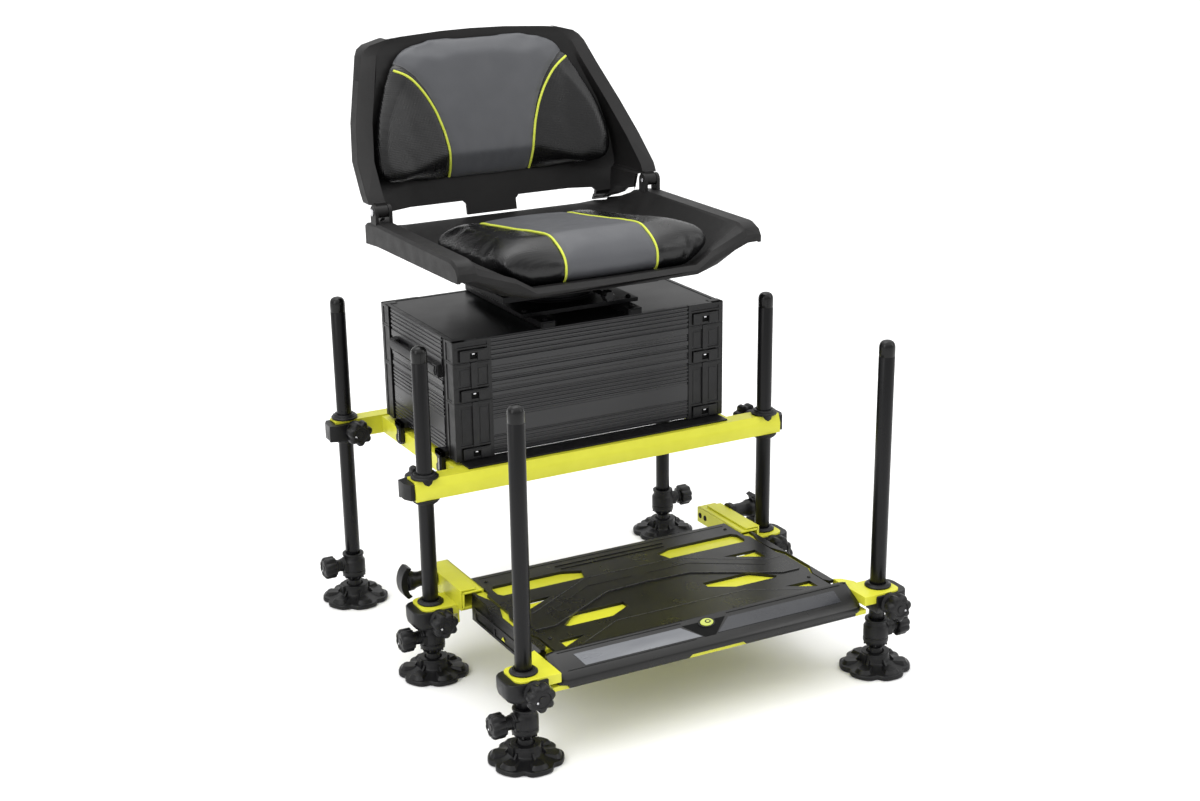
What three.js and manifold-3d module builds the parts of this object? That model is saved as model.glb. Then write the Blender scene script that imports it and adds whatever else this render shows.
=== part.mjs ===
// A fishing seat box: a frame on clamped legs, a stacked tackle box, a swivelling seat with a folding back, and a
// footplate that slides out on legs of its own. Millimetres, +Z up, the front to -Y, the origin on the ground
// under the middle of the part. Heights are above the ground, and the frame legs stand round the middle of it.

import * as THREE from 'three';
import { mergeVertices } from 'three/addons/utils/BufferGeometryUtils.js';
import Module from 'manifold-3d';

// Driving dimensions of the box
const boxHalfWidth = 244;
const boxHalfDepth = 144;
const boxLift = 3.1;
const lowerTrayHeight = 95;
const upperTrayHeight = 64;
const lidHeight = 35.5;
const trayWall = 2.5;

// Driving dimensions of the frame, whose legs stand outside the box's corners
const legRadius = 12.5;
const legWall = 1.5;
const legTop = 542;
const legBesideBox = 66;
const legBeyondBox = 26;
const frameHalfWidth = boxHalfWidth + legBesideBox;
const frameHalfDepth = boxHalfDepth + legBeyondBox;
const frameHeight = 300;
const railHeight = 32;
const railDepth = 34;
const railWall = 3;

// Driving dimensions of the seat
const swivelHeight = 59.5;
const seatHalfWidth = 265;
const seatFront = 240;
const seatRear = 212;
const armHeight = 77;
const seatWall = 6;
const backHeight = 234;
const backRecline = 0.2;

// Driving dimensions of the footplate
const footplateReach = 333;
const footplateHeight = 142;
const bracketHeight = 123;
const slideInsideLeg = 33;
const deckInsideSlide = 45;
const slideHalfWidth = frameHalfWidth - slideInsideLeg;
const deckHalfWidth = slideHalfWidth - deckInsideSlide;

// Clearances and other sizes that many pieces share
const gap = 0.3;
const overrun = 4;
const sides = 16;
const fineSides = 24;
const smallSides = 10;
const weldDistance = 0.0002;
const bushBore = legRadius + gap;

const wasm = await Module();
wasm.setup();

const part = new THREE.Group();

// Materials

function finish(color, roughness, metalness) {
  return new THREE.MeshStandardMaterial({ color, roughness, metalness });
}

const limeCoat = finish(0xd9e036, 0.35, 0.1);
const blackTube = finish(0x1b1b1d, 0.45, 0.6);
const blackPlastic = finish(0x161618, 0.5, 0);
const boxBlack = finish(0x202022, 0.4, 0.6);
const shellPlastic = finish(0x232325, 0.55, 0);
const vinyl = finish(0x3a3a3e, 0.4, 0);
const brightSteel = finish(0xb8babd, 0.25, 1);

// Helpers

// A closed geometry as a solid that can be joined and cut, with its faces pointing out
function solidOf(geometry) {
  const bare = geometry.clone();
  bare.deleteAttribute('normal');
  bare.deleteAttribute('uv');
  const merged = mergeVertices(bare, weldDistance);
  const place = merged.attributes.position;
  const corner = new THREE.Vector3();
  const across = new THREE.Vector3();
  const beyond = new THREE.Vector3();
  const faces = [];
  let volume = 0;
  for (let first = 0; first < merged.index.count; first += 3) {
    const face = [0, 1, 2].map((step) => merged.index.getX(first + step));
    if (new Set(face).size < 3) {
      continue;
    }
    faces.push(face);
    corner.fromBufferAttribute(place, face[0]);
    across.fromBufferAttribute(place, face[1]);
    beyond.fromBufferAttribute(place, face[2]);
    volume += corner.dot(across.cross(beyond));
  }
  const outward = volume < 0 ? faces.map(([a, b, c]) => [a, c, b]) : faces;
  return new wasm.Manifold(new wasm.Mesh({
    numProp: 3,
    vertProperties: new Float32Array(place.array),
    triVerts: new Uint32Array(outward.flat()),
  }));
}

function geometryOf(solid) {
  const mesh = solid.getMesh();
  const geometry = new THREE.BufferGeometry();
  geometry.setAttribute('position', new THREE.BufferAttribute(new Float32Array(mesh.vertProperties), 3));
  geometry.setIndex(new THREE.BufferAttribute(new Uint32Array(mesh.triVerts), 1));
  return geometry;
}

function join(...pieces) {
  return geometryOf(pieces.map(solidOf).reduce((whole, piece) => whole.add(piece)));
}

function cut(body, ...tools) {
  return geometryOf(tools.map(solidOf).reduce((whole, tool) => whole.subtract(tool), solidOf(body)));
}

function keepInside(body, tool) {
  return geometryOf(solidOf(body).intersect(solidOf(tool)));
}

// One named piece of the object
function piece(name, geometry, material, x = 0, y = 0, z = 0) {
  const shape = geometryOf(solidOf(geometry)).toNonIndexed();
  shape.computeVertexNormals();
  const mesh = new THREE.Mesh(shape, material);
  mesh.name = name;
  mesh.position.set(x, y, z);
  part.add(mesh);
}

function block(x0, x1, y0, y1, z0, z1) {
  const shape = new THREE.BoxGeometry(x1 - x0, y1 - y0, z1 - z0);
  return shape.translate((x0 + x1) / 2, (y0 + y1) / 2, (z0 + z1) / 2);
}

// A turned shape about Z, from points of radius and height
function turned(points, count = sides) {
  const profile = points.map(([radius, height]) => new THREE.Vector2(radius, height));
  return new THREE.LatheGeometry(profile, count).rotateX(Math.PI / 2);
}

function rodZ(radius, from, to, count = sides) {
  return turned([[0, from], [radius, from], [radius, to], [0, to]], count);
}

function rodX(radius, from, to, count = sides) {
  return rodZ(radius, from, to, count).rotateY(Math.PI / 2);
}

function rodY(radius, from, to, count = sides) {
  return rodZ(radius, -to, -from, count).rotateX(Math.PI / 2);
}

// A flat outline of [x, y] points, given a height along Z, with holes if any
function plate(outline, from, to, holes = []) {
  const points = outline.map(([x, y]) => new THREE.Vector2(x, y));
  const shape = new THREE.Shape(THREE.ShapeUtils.area(points) < 0 ? points.reverse() : points);
  shape.holes = holes.map((hole) => new THREE.Path(hole.map(([x, y]) => new THREE.Vector2(x, y))));
  const solid = new THREE.ExtrudeGeometry(shape, { depth: to - from, bevelEnabled: false });
  return solid.translate(0, 0, from);
}

// A section of [y, z] points, drawn out along X
function bar(section, from, to, holes = []) {
  const turn = new THREE.Matrix4().set(0, 0, 1, 0, 1, 0, 0, 0, 0, 1, 0, 0, 0, 0, 0, 1);
  return plate(section, from, to, holes).applyMatrix4(turn);
}

function rectangle(u0, u1, v0, v1) {
  return [[u0, v0], [u1, v0], [u1, v1], [u0, v1]];
}

function mirrored(geometry) {
  return geometry.clone().scale(-1, 1, 1);
}

function moved(geometry, x, y, z) {
  return geometry.clone().translate(x, y, z);
}

function mix(from, to, share) {
  return from + (to - from) * share;
}

// A skin through rings of as many points each, closed by a flat face on its first and last ring. The two numbers
// in flat say which coordinates the end rings are seen in. Its left half is split into faces as its right half is.
function loft(rings, flat) {
  const count = rings[0].length;
  const places = rings.flat(2);
  const faces = [];
  for (let ring = 0; ring + 1 < rings.length; ring += 1) {
    for (let side = 0; side < count; side += 1) {
      const next = (side + 1) % count;
      const [a, b] = [ring * count + side, ring * count + next];
      const [c, d] = [a + count, b + count];
      faces.push(...(side < count / 2 ? [a, b, d, a, d, c] : [a, b, c, b, d, c]));
    }
  }
  for (const [ring, turn] of [[0, 1], [rings.length - 1, 0]]) {
    const flatRing = rings[ring].map((point) => new THREE.Vector2(point[flat[0]], point[flat[1]]));
    const wound = THREE.ShapeUtils.area(flatRing) > 0;
    const order = wound ? flatRing : flatRing.slice().reverse();
    const numberOf = (index) => ring * count + (wound ? index : count - 1 - index);
    const outerTurn = (turn === 1) === wound;
    for (const [a, b, c] of THREE.ShapeUtils.triangulateShape(order, [])) {
      const face = [numberOf(a), numberOf(b), numberOf(c)];
      faces.push(...(outerTurn ? [face[0], face[2], face[1]] : face));
    }
  }
  const geometry = new THREE.BufferGeometry();
  geometry.setAttribute('position', new THREE.BufferAttribute(new Float32Array(places), 3));
  geometry.setIndex(faces);
  return geometry;
}

// Right half of a closed section, first and last point on the middle line, joined to its own mirror image
function bothHalves(half) {
  const inner = half.slice(1, -1).reverse();
  return [...half, ...inner.map(([x, ...rest]) => [-x, ...rest])];
}

// A knob's outline: lobes round a circle
function lobed(radius, depth, lobes) {
  const steps = lobes * 4;
  const outline = [];
  for (let step = 0; step < steps; step += 1) {
    const angle = (2 * Math.PI * step) / steps;
    const reach = step % 4 < 2 ? radius : radius - depth;
    outline.push([reach * Math.cos(angle), reach * Math.sin(angle)]);
  }
  return outline;
}

// Heights of the stack, from the ground up
const railTop = frameHeight + railHeight;
const boxBottom = railTop + boxLift + gap;
const lowerTop = boxBottom + lowerTrayHeight;
const upperBottom = lowerTop + gap;
const upperTop = upperBottom + upperTrayHeight;
const lidBottom = upperTop + gap;
const lidTop = lidBottom + lidHeight;
const panBottom = lidTop + swivelHeight;
const panTop = panBottom + seatWall;
const armTop = panTop + armHeight;

// Legs, each a tube with a domed cap, standing in its foot
const legFoot = 52;
const domeHeight = 11;
const domeShares = [[1, 0], [0.92, 0.45], [0.7, 0.78], [0.38, 0.95], [0, 1]];
const capDepth = 26;

function legTube() {
  const dome = domeShares.map(([out, up]) => [legRadius * out, legTop - domeHeight * (1 - up)]);
  const bore = legRadius - legWall;
  return turned([
    [bore, legFoot], [legRadius, legFoot], ...dome, [0, legTop - capDepth], [bore, legTop - capDepth], [bore, legFoot],
  ]);
}

// Foot knuckles: a sleeve on the leg's end with a side boss for the knob and a ball below
const footSides = 12;
const ballCentre = 25;
const ballRadius = 13;
const neckRadius = 10.5;
const neckTop = 39;
const knuckleRadius = 20;
const knuckleFlat = 46;
const knuckleShoulder = 74;
const sleeveStep = 4;
const sleeveRadius = 17;
const sleeveTop = 87;
const footKnobHeight = 67;
const bossRadius = 12;
const bossReach = 25;
const ballShares = [[0, -1], [0.72, -0.7], [1, 0], [0.88, 0.48]];

function knuckle() {
  const ball = ballShares.map(([out, up]) => [ballRadius * out, ballCentre + ballRadius * up]);
  const body = turned([
    ...ball, [neckRadius, neckTop], [knuckleRadius, knuckleFlat], [knuckleRadius, knuckleShoulder],
    [sleeveRadius, knuckleShoulder + sleeveStep], [sleeveRadius, sleeveTop], [0, sleeveTop],
  ], footSides);
  const boss = rodX(bossRadius, 0, bossReach, smallSides).translate(0, 0, footKnobHeight);
  const bore = rodZ(bushBore, legFoot - gap, sleeveTop + overrun);
  return cut(join(body, boss), bore);
}

// Foot knobs, on the outer side of each knuckle
const footKnobRadius = 19;
const footKnobNeck = 9;
const footKnobNeckRadius = 11;
const footKnobLength = 22;
const footKnobFlute = 2.2;
const footKnobLobes = 7;

function footKnob() {
  const from = bossReach + gap;
  const neck = rodX(footKnobNeckRadius, from, from + footKnobNeck + overrun, smallSides);
  const start = from + footKnobNeck;
  const head = bar(lobed(footKnobRadius, footKnobFlute, footKnobLobes), start, start + footKnobLength);
  return join(neck, head).translate(0, 0, footKnobHeight);
}

// Mud feet: a lobed pad with a dished top and a cup that holds the ball
const padRadius = 56;
const padRim = 6;
const padRise = 13;
const padNotch = 7;
const padLobes = 6;
const padSteps = 3;
const cupRadius = 22;
const cupTop = 30;
const cupFoot = 30;
const cupSlot = 6;

function mudFoot() {
  const steps = padLobes * padSteps;
  const outline = [];
  for (let step = 0; step < steps; step += 1) {
    const angle = (2 * Math.PI * step) / steps;
    const reach = step % padSteps === 0 ? padRadius - padNotch : padRadius;
    outline.push([reach * Math.cos(angle), reach * Math.sin(angle)]);
  }
  const dish = turned([
    [0, 0], [padRadius, 0], [padRadius, padRim], [cupFoot, padRise], [cupRadius, padRise + padRim],
    [cupRadius, cupTop], [0, cupTop],
  ], steps).rotateZ(Math.PI / 2);
  const socketRadius = ballRadius + gap;
  const socket = rodZ(socketRadius, ballCentre - socketRadius, cupTop + overrun, footSides);
  const slot = block(-padRadius, padRadius, -cupSlot / 2, cupSlot / 2, padRise + padRim, cupTop + overrun);
  return cut(keepInside(dish, plate(outline, 0, cupTop)), socket, slot.rotateZ(Math.PI / 4));
}

const frameCorners = [['rear_left', -1, 1], ['rear_right', 1, 1], ['front_left', -1, -1], ['front_right', 1, -1]];
const frontLegY = -(frameHalfDepth + footplateReach);
const legPlaces = frameCorners.map(([name, x, y]) => [name, x, y * frameHalfDepth]);
legPlaces.push(['footplate_left', -1, frontLegY], ['footplate_right', 1, frontLegY]);

for (const [name, side, y] of legPlaces) {
  const x = side * frameHalfWidth;
  const facing = (geometry) => (side < 0 ? mirrored(geometry) : geometry);
  piece(`leg_${name}`, legTube(), blackTube, x, y);
  piece(`foot_knuckle_${name}`, facing(knuckle()), blackPlastic, x, y);
  piece(`foot_knob_${name}`, facing(footKnob()), blackPlastic, x, y);
  piece(`mud_foot_${name}`, mudFoot(), blackPlastic, x, y);
}

// Collars round the legs, above and below what they pass through
const collarRadius = 20;
const collarHeight = 6;
const bushWall = 2;
const bushRadius = bushBore + bushWall;

function collars(bottom, top) {
  const low = rodZ(collarRadius, bottom - collarHeight, bottom - gap);
  const high = rodZ(collarRadius, top + gap, top + collarHeight);
  return [low, high];
}

// Star knobs, on a hub that stands out along Y
const starRadius = 22;
const starFlute = 3;
const starLobes = 6;
const starHubRadius = 13;
const starHub = 6;
const starLength = 19;

function starKnob(facing) {
  const hub = rodX(starHubRadius, 0, starHub + overrun);
  const head = bar(lobed(starRadius, starFlute, starLobes), starHub, starHub + starLength);
  return join(hub, head).rotateZ((facing * Math.PI) / 2);
}

// Front and rear rails: hollow bars with a sloping outer shoulder, held by a clamp at each end
const railBeyondLeg = 22;
const railHalf = frameHalfWidth + railBeyondLeg;
const railShoulder = 15;
const railSlope = 6;
const studRadius = 6;
const studInset = 8;
const clampWrap = 9;
const clampEnd = 13;
const clampInner = 26;
const clampDrop = 4;
const clampNose = 4;
const clampNoseRadius = 16;

function railSection(inset) {
  const half = railDepth / 2 - inset;
  const low = inset;
  const high = railHeight - inset;
  const shoulder = railHeight - railShoulder;
  return [[-half, low], [half, low], [half, high], [railSlope - half, high], [-half, shoulder]];
}

function frameRail() {
  const tube = bar(railSection(0), -railHalf, railHalf, [railSection(railWall)]);
  const holes = [-1, 1].flatMap((side) => {
    const x = side * frameHalfWidth;
    const studX = x - side * studInset;
    const leg = rodZ(bushRadius + gap, -overrun, railHeight + overrun).translate(x, 0, 0);
    const stud = rodY(studRadius + gap, 0, railDepth, smallSides).translate(studX, 0, railHeight / 2);
    return [leg, stud];
  });
  return cut(tube, ...holes);
}

// The clamp at a rail's right end, with its knob towards +Y: bush, stud, inner cheek and end cap in one moulding
function railClamp() {
  const half = railDepth / 2;
  const inner = half + gap;
  const outer = inner + clampWrap;
  const end = railHalf - frameHalfWidth + gap;
  const middle = railHeight / 2;
  const cheek = plate([
    [-clampInner, inner], [end + clampEnd, inner], [end + clampEnd, outer - clampDrop], [end, outer],
    [-clampInner + clampDrop, outer], [-clampInner, outer - clampDrop],
  ], 0, railHeight - clampDrop);
  const cap = plate([
    [end, -half + clampDrop], [end + clampEnd / 2, -half + clampDrop], [end + clampEnd, 0],
    [end + clampEnd, inner + overrun], [end, inner + overrun],
  ], clampDrop / 2, railHeight - clampDrop);
  const bush = rodZ(bushRadius, -collarHeight, railHeight + collarHeight);
  const stud = rodY(studRadius, 0, inner + overrun, smallSides).translate(-studInset, 0, middle);
  const nose = rodY(clampNoseRadius, outer - overrun, outer + clampNose).translate(-studInset, 0, middle);
  const bore = rodZ(bushBore, -railHeight, railHeight * 2);
  return cut(join(cheek, cap, bush, stud, nose, ...collars(0, railHeight)), bore);
}

const clampFace = railDepth / 2 + gap + clampWrap + clampNose;

for (const [name, facing, y] of [['front', 1, -frameHalfDepth], ['rear', -1, frameHalfDepth]]) {
  const turnedRail = facing > 0 ? frameRail() : frameRail().scale(1, -1, 1);
  piece(`${name}_rail`, turnedRail, limeCoat, 0, y, frameHeight);
  for (const [sideName, side] of [['left', -1], ['right', 1]]) {
    const shape = railClamp().scale(side, facing, 1);
    const x = side * frameHalfWidth;
    piece(`rail_clamp_${name}_${sideName}`, shape, blackPlastic, x, y, frameHeight);
    const knobY = y + facing * (clampFace + gap);
    const knobZ = frameHeight + railHeight / 2;
    const knobX = x - side * studInset;
    piece(`clamp_knob_${name}_${sideName}`, starKnob(facing), blackPlastic, knobX, knobY, knobZ);
  }
}

// Side rails between them, under the box's sides
const sideRailBeyondBox = 6;
const sideRailOuter = boxHalfWidth + sideRailBeyondBox;
const sideRailWidth = 24;
const sideRailInset = 2;

function sideRail() {
  const [low, high] = [sideRailInset, railHeight - sideRailInset];
  const section = rectangle(sideRailOuter - sideRailWidth, sideRailOuter, low, high);
  const hollow = rectangle(
    sideRailOuter - sideRailWidth + railWall, sideRailOuter - railWall, low + railWall, high - railWall,
  );
  const length = frameHalfDepth - railDepth / 2 - gap;
  return plate(section, -length, length, [hollow]).rotateX(Math.PI / 2);
}

piece('side_rail_left', mirrored(sideRail()), limeCoat, 0, 0, frameHeight);
piece('side_rail_right', sideRail(), limeCoat, 0, 0, frameHeight);

// The strip that the box's front rests on
const stripInset = 8;
const stripHalfWidth = boxHalfWidth - stripInset;
const stripFront = 3;
const stripRear = 10;

piece('front_support_strip', block(
  -stripHalfWidth, stripHalfWidth, -frameHalfDepth - stripFront, -boxHalfDepth + stripRear,
  railTop + gap, boxBottom - gap,
), blackPlastic);

// The box: each level is a ribbed ring with corner castings
const cornerWidth = 66;
const cornerDepth = 32;
const cornerProud = 1.5;
const ribProud = 1.2;
const bossWidth = 44;
const bossHeight = 20;
const bossProud = 3;
const bossInset = 14;
const floorThickness = 3;
const wallLift = 2.5;

function bandOf(halfWidth, halfDepth, low, high) {
  return block(-halfWidth, halfWidth, -halfDepth, halfDepth, low, high);
}

// One level of the box between two heights, ribs given as shares of its wall
function boxLevel(low, high, wallLow, ribShares) {
  const wide = boxHalfWidth - cornerProud - ribProud;
  const deep = boxHalfDepth - cornerProud - ribProud;
  const pieces = [bandOf(wide, deep, wallLow, high)];
  for (const [from, to] of ribShares) {
    const [ribLow, ribHigh] = [mix(wallLow, high, from), mix(wallLow, high, to)];
    pieces.push(block(
      -boxHalfWidth + cornerWidth - overrun, boxHalfWidth - cornerWidth + overrun,
      -deep - ribProud, deep + ribProud, ribLow, ribHigh,
    ));
    pieces.push(block(
      -wide - ribProud, wide + ribProud,
      -boxHalfDepth + cornerDepth - overrun, boxHalfDepth - cornerDepth + overrun, ribLow, ribHigh,
    ));
  }
  for (const x of [-1, 1]) {
    for (const y of [-1, 1]) {
      const corner = block(
        boxHalfWidth - cornerWidth, boxHalfWidth, boxHalfDepth - cornerDepth, boxHalfDepth, low, high,
      );
      const boss = block(
        boxHalfWidth - bossInset - bossWidth, boxHalfWidth - bossInset,
        boxHalfDepth - overrun, boxHalfDepth + bossProud, low + bossProud, low + bossProud + bossHeight,
      );
      pieces.push(corner.scale(x, y, 1), boss.scale(x, y, 1));
    }
  }
  return join(...pieces);
}

const insideWidth = boxHalfWidth - cornerProud - ribProud - trayWall;
const insideDepth = boxHalfDepth - cornerProud - ribProud - trayWall;
const lowerRibShares = [[0.04, 0.12], [0.2, 0.46], [0.54, 0.62], [0.7, 0.96]];
const upperRibShares = [[0.06, 0.3], [0.38, 0.62], [0.7, 0.94]];
const lidRibShares = [[0.1, 0.42], [0.56, 0.88]];

// Clips that hook the lower tray over the side rails
const clipWidth = 24;
const clipThickness = 8;
const clipRise = 12;
const clipDrop = 26;
const clipShares = [0.43, -0.72];
const footWidth = 14;
const footLength = 30;
const footShare = 0.6;

function railClip(y) {
  const inner = sideRailOuter + gap;
  const outer = inner + clipThickness;
  const hook = bar(rectangle(y - clipWidth / 2, y + clipWidth / 2, boxBottom - clipDrop, boxBottom + clipRise),
    inner, outer);
  const arm = block(
    insideWidth + gap, outer, y - clipWidth / 2, y + clipWidth / 2, boxBottom + wallLift + gap, boxBottom + clipRise,
  );
  return join(hook, arm);
}

function lowerTray() {
  const level = boxLevel(boxBottom, lowerTop, boxBottom + wallLift, lowerRibShares);
  const clips = clipShares.flatMap((share) => {
    const clip = railClip(share * boxHalfDepth);
    return [clip, mirrored(clip)];
  });
  const feet = [-1, 1].flatMap((x) => [-1, 1].map((y) => block(
    -footWidth / 2, footWidth / 2, -footLength / 2, footLength / 2,
    frameHeight + railHeight - sideRailInset + gap, boxBottom + wallLift + floorThickness,
  ).translate(x * (sideRailOuter - sideRailWidth / 2), y * footShare * boxHalfDepth, 0)));
  const floor = boxBottom + wallLift + floorThickness;
  return cut(join(level, ...clips, ...feet), bandOf(insideWidth, insideDepth, floor, lowerTop + overrun));
}

piece('lower_tray', lowerTray(), boxBlack);

// Hinge barrels at the rear of the upper tray and the lid
const hingeRadius = 4.5;
const hingePin = 2;
const hingeOut = 7;
const hingeLength = 30;
const hingeX = 110;
const hingeLeaf = 5;
const lidHingeY = boxHalfDepth + hingeOut;
const lidHingeZ = upperTop + gap / 2;

function barrel(radius, x, halfLength) {
  return rodX(radius, x - halfLength, x + halfLength, smallSides).translate(0, lidHingeY, lidHingeZ);
}

function leaf(x, halfLength, low, high) {
  return block(x - halfLength, x + halfLength, insideDepth + gap, lidHingeY, low, high);
}

function upperTray() {
  const level = boxLevel(upperBottom, upperTop, upperBottom, upperRibShares);
  const hollow = bandOf(insideWidth, insideDepth, upperBottom + floorThickness, upperTop + overrun);
  const hinges = [-hingeX, hingeX].flatMap((x) => {
    const ends = [-1, 1].flatMap((side) => {
      const middle = x + side * (hingeLength / 2 + hingeLeaf + gap);
      return [
        barrel(hingeRadius, middle, hingeLeaf), leaf(middle, hingeLeaf, upperTop - hingeLeaf, upperTop - gap),
      ];
    });
    return [...ends, barrel(hingePin, x, hingeLength / 2 + hingeLeaf)];
  });
  return join(cut(level, hollow), ...hinges);
}

function lid() {
  const level = boxLevel(lidBottom, lidTop, lidBottom, lidRibShares);
  const hollow = bandOf(insideWidth, insideDepth, lidBottom - overrun, lidTop - floorThickness);
  const hinges = [-hingeX, hingeX].flatMap((x) => [
    barrel(hingeRadius, x, hingeLength / 2),
    leaf(x, hingeLength / 2, lidBottom + gap, lidBottom + hingeLeaf),
  ]);
  const bores = [-hingeX, hingeX].map((x) => barrel(hingePin + gap, x, hingeLength));
  return cut(join(cut(level, hollow), ...hinges), ...bores);
}

piece('upper_tray', upperTray(), boxBlack);
piece('lid', lid(), boxBlack);

// The seat's swivel: two runners and a cross plate on the lid, a round bearing, and a plate under the seat
const runnerX = 78;
const runnerWidth = 24;
const runnerHeight = 10;
const basePlateHalf = 105;
const basePlate = 6;
const bearingRadius = 72;
const bearingHeight = 23;
const topPlateX = 140;
const topPlateY = 112;
const topPlate = 10;
const topBossX = 100;
const topBossY = 34;

const runnerBottom = lidTop + gap;
const basePlateTop = runnerBottom + runnerHeight + basePlate;
const bearingTop = basePlateTop + bearingHeight;

function swivelBase() {
  const runners = [-1, 1].map((side) => block(
    side * runnerX - runnerWidth / 2, side * runnerX + runnerWidth / 2,
    -boxHalfDepth, boxHalfDepth, runnerBottom, runnerBottom + runnerHeight,
  ));
  const cross = bandOf(basePlateHalf, basePlateHalf, runnerBottom + runnerHeight - gap, basePlateTop);
  return join(...runners, cross, rodZ(bearingRadius, basePlateTop - gap, bearingTop, fineSides));
}

function swivelTop() {
  const bottom = bearingTop + gap;
  const platform = bandOf(topPlateX, topPlateY, bottom, bottom + topPlate);
  return join(platform, bandOf(topBossX, topBossY, bottom, panBottom - gap));
}

piece('swivel_base', swivelBase(), blackTube);
piece('swivel_top', swivelTop(), blackPlastic);

// Its lock knob, on a stem from the bearing's front
const lockKnobRadius = 10;
const lockKnobLength = 14;
const lockStemRadius = 4;
const lockFlute = 1.5;
const lockLobes = 6;
const lockX = 46;
const lockFace = Math.sqrt(bearingRadius ** 2 - (lockX - lockStemRadius) ** 2) + gap;
const lockStem = basePlateHalf + gap - lockFace;

piece('swivel_lock_knob', join(
  rodX(lockStemRadius, 0, lockStem + overrun, smallSides),
  bar(lobed(lockKnobRadius, lockFlute, lockLobes), lockStem, lockStem + lockKnobLength),
).rotateZ(-Math.PI / 2), blackPlastic, lockX, -lockFace, basePlateTop + bearingHeight / 2);

// The seat shell: a tub with wide arms, lofted from front to rear. Each row of shares gives the place from front
// to rear, the pan's rise over its lowest point, the half width of its flat, the arm's top and underside and the
// skirt's foot as parts of the arm height, the width at the arm as a part of the half width, and the pan's wall.
const armWidth = 33;
const armEdge = 4;
const skirtWall = 5;
const panInset = 100;
const panHalfWidth = seatHalfWidth - panInset;
const panBend = 30;
const panBendRise = 18;
const lipBow = 18;
const lipLengthShare = 0.25;
const armNarrowShare = 0.5;
const underBendShares = [0.7, 1.45];
const shellRowShares = [
  [0, 0.234, 0.85, 0.78, 0.623, 0.597, 1, 1],
  [0.018, 0.325, 0.86, 0.91, 0.623, 0.597, 1, 2.6],
  [0.055, 0.31, 0.88, 0.987, 0.623, 0.584, 1, 3],
  [0.077, 0.273, 0.9, 1, 0.909, 0.584, 1, 2.6],
  [0.155, 0.104, 0.94, 1, 0.909, 0.571, 1, 1.3],
  [0.266, 0.026, 0.97, 1, 0.909, 0.558, 1, 1],
  [0.531, 0, 1, 1, 0.909, 0.545, 1, 1],
  [0.73, 0.026, 1, 0.987, 0.896, 0.52, 1, 1],
  [0.819, 0.104, 1.02, 0.935, 0.844, 0.48, 1, 1],
  [0.841, 0.143, 1.03, 0.909, 0.831, 0.468, 1, 1],
  [0.854, 0.17, 1.03, 0.85, 0.77, 0.597, 0.925, 1],
  [0.918, 0.338, 1.03, 0.71, 0.62, 0.58, 0.91, 1],
  [0.985, 0.532, 1, 0.62, 0.55, 0.52, 0.895, 1],
  [1, 0.545, 1, 0.6, 0.54, 0.52, 0.89, 1],
];

function seatY(along, x) {
  const bow = lipBow * Math.max(0, 1 - along / lipLengthShare);
  return mix(-seatFront, seatRear, along) + bow * (x / seatHalfWidth) ** 2;
}

function shellRing([along, rise, flat, top, under, skirt, wide, wall]) {
  const level = (share) => panTop + share * armHeight;
  const pan = level(rise);
  const thickness = seatWall * wall;
  const outer = seatHalfWidth * wide;
  const inner = outer - armWidth * (wide < 1 ? armNarrowShare : 1);
  const bendX = panHalfWidth * flat + panBend;
  const bendZ = pan + Math.min(panBendRise, (level(top) - pan) / 2);
  const half = [
    [0, pan - thickness], [panHalfWidth * flat, pan - thickness],
    [bendX + thickness * underBendShares[0], bendZ - thickness * underBendShares[1]],
    [inner + seatWall, level(under)], [outer - skirtWall, level(under) - gap], [outer - skirtWall, level(skirt)],
    [outer, level(skirt)], [outer, level(top) - armEdge], [outer - armEdge, level(top)],
    [inner + armEdge, level(top)], [inner, level(top) - armEdge], [bendX, bendZ],
    [panHalfWidth * flat, pan], [0, pan],
  ];
  return bothHalves(half).map(([x, z]) => [x, seatY(along, x), z]);
}

// The back's hinges: two ears on each arm, with a pin through them and through the back's lug
const foldAhead = 105;
const foldY = seatRear - foldAhead;
const foldRise = 16;
const foldZ = armTop + foldRise;
const earRadius = 11;
const earWidth = 5.5;
const lugWidth = 18;
const lugRadius = 10;
const lugDepth = 16;
const lugRise = 14;
const lugX = seatHalfWidth - armWidth / 2;
const foldPinRadius = 3.5;
const pinHeadRadius = 6;
const pinHead = 2;
const earOffset = lugWidth / 2 + gap + earWidth / 2;

function ear(x) {
  const [from, to] = [x - earWidth / 2, x + earWidth / 2];
  const round = rodX(earRadius, from, to).translate(0, foldY, foldZ);
  return join(round, block(from, to, foldY - earRadius, foldY + earRadius, armTop - armEdge, foldZ));
}

function seatShell() {
  const tub = loft(shellRowShares.map(shellRing), [0, 2]);
  const ears = [-1, 1].flatMap((side) => [-1, 1].map((place) => ear(side * lugX + place * earOffset)));
  const bore = rodX(foldPinRadius + gap, -seatHalfWidth - armWidth, seatHalfWidth + armWidth, smallSides);
  return cut(join(tub, ...ears), bore.translate(0, foldY, foldZ));
}

piece('seat_shell', seatShell(), shellPlastic);

function foldPin() {
  const reach = earOffset + earWidth / 2 + gap;
  return join(
    rodX(foldPinRadius, -reach, reach + pinHead / 2, smallSides),
    rodX(pinHeadRadius, reach, reach + pinHead, smallSides),
  );
}

piece('fold_pin_left', mirrored(foldPin()), brightSteel, -lugX, foldY, foldZ);
piece('fold_pin_right', foldPin(), brightSteel, lugX, foldY, foldZ);

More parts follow.
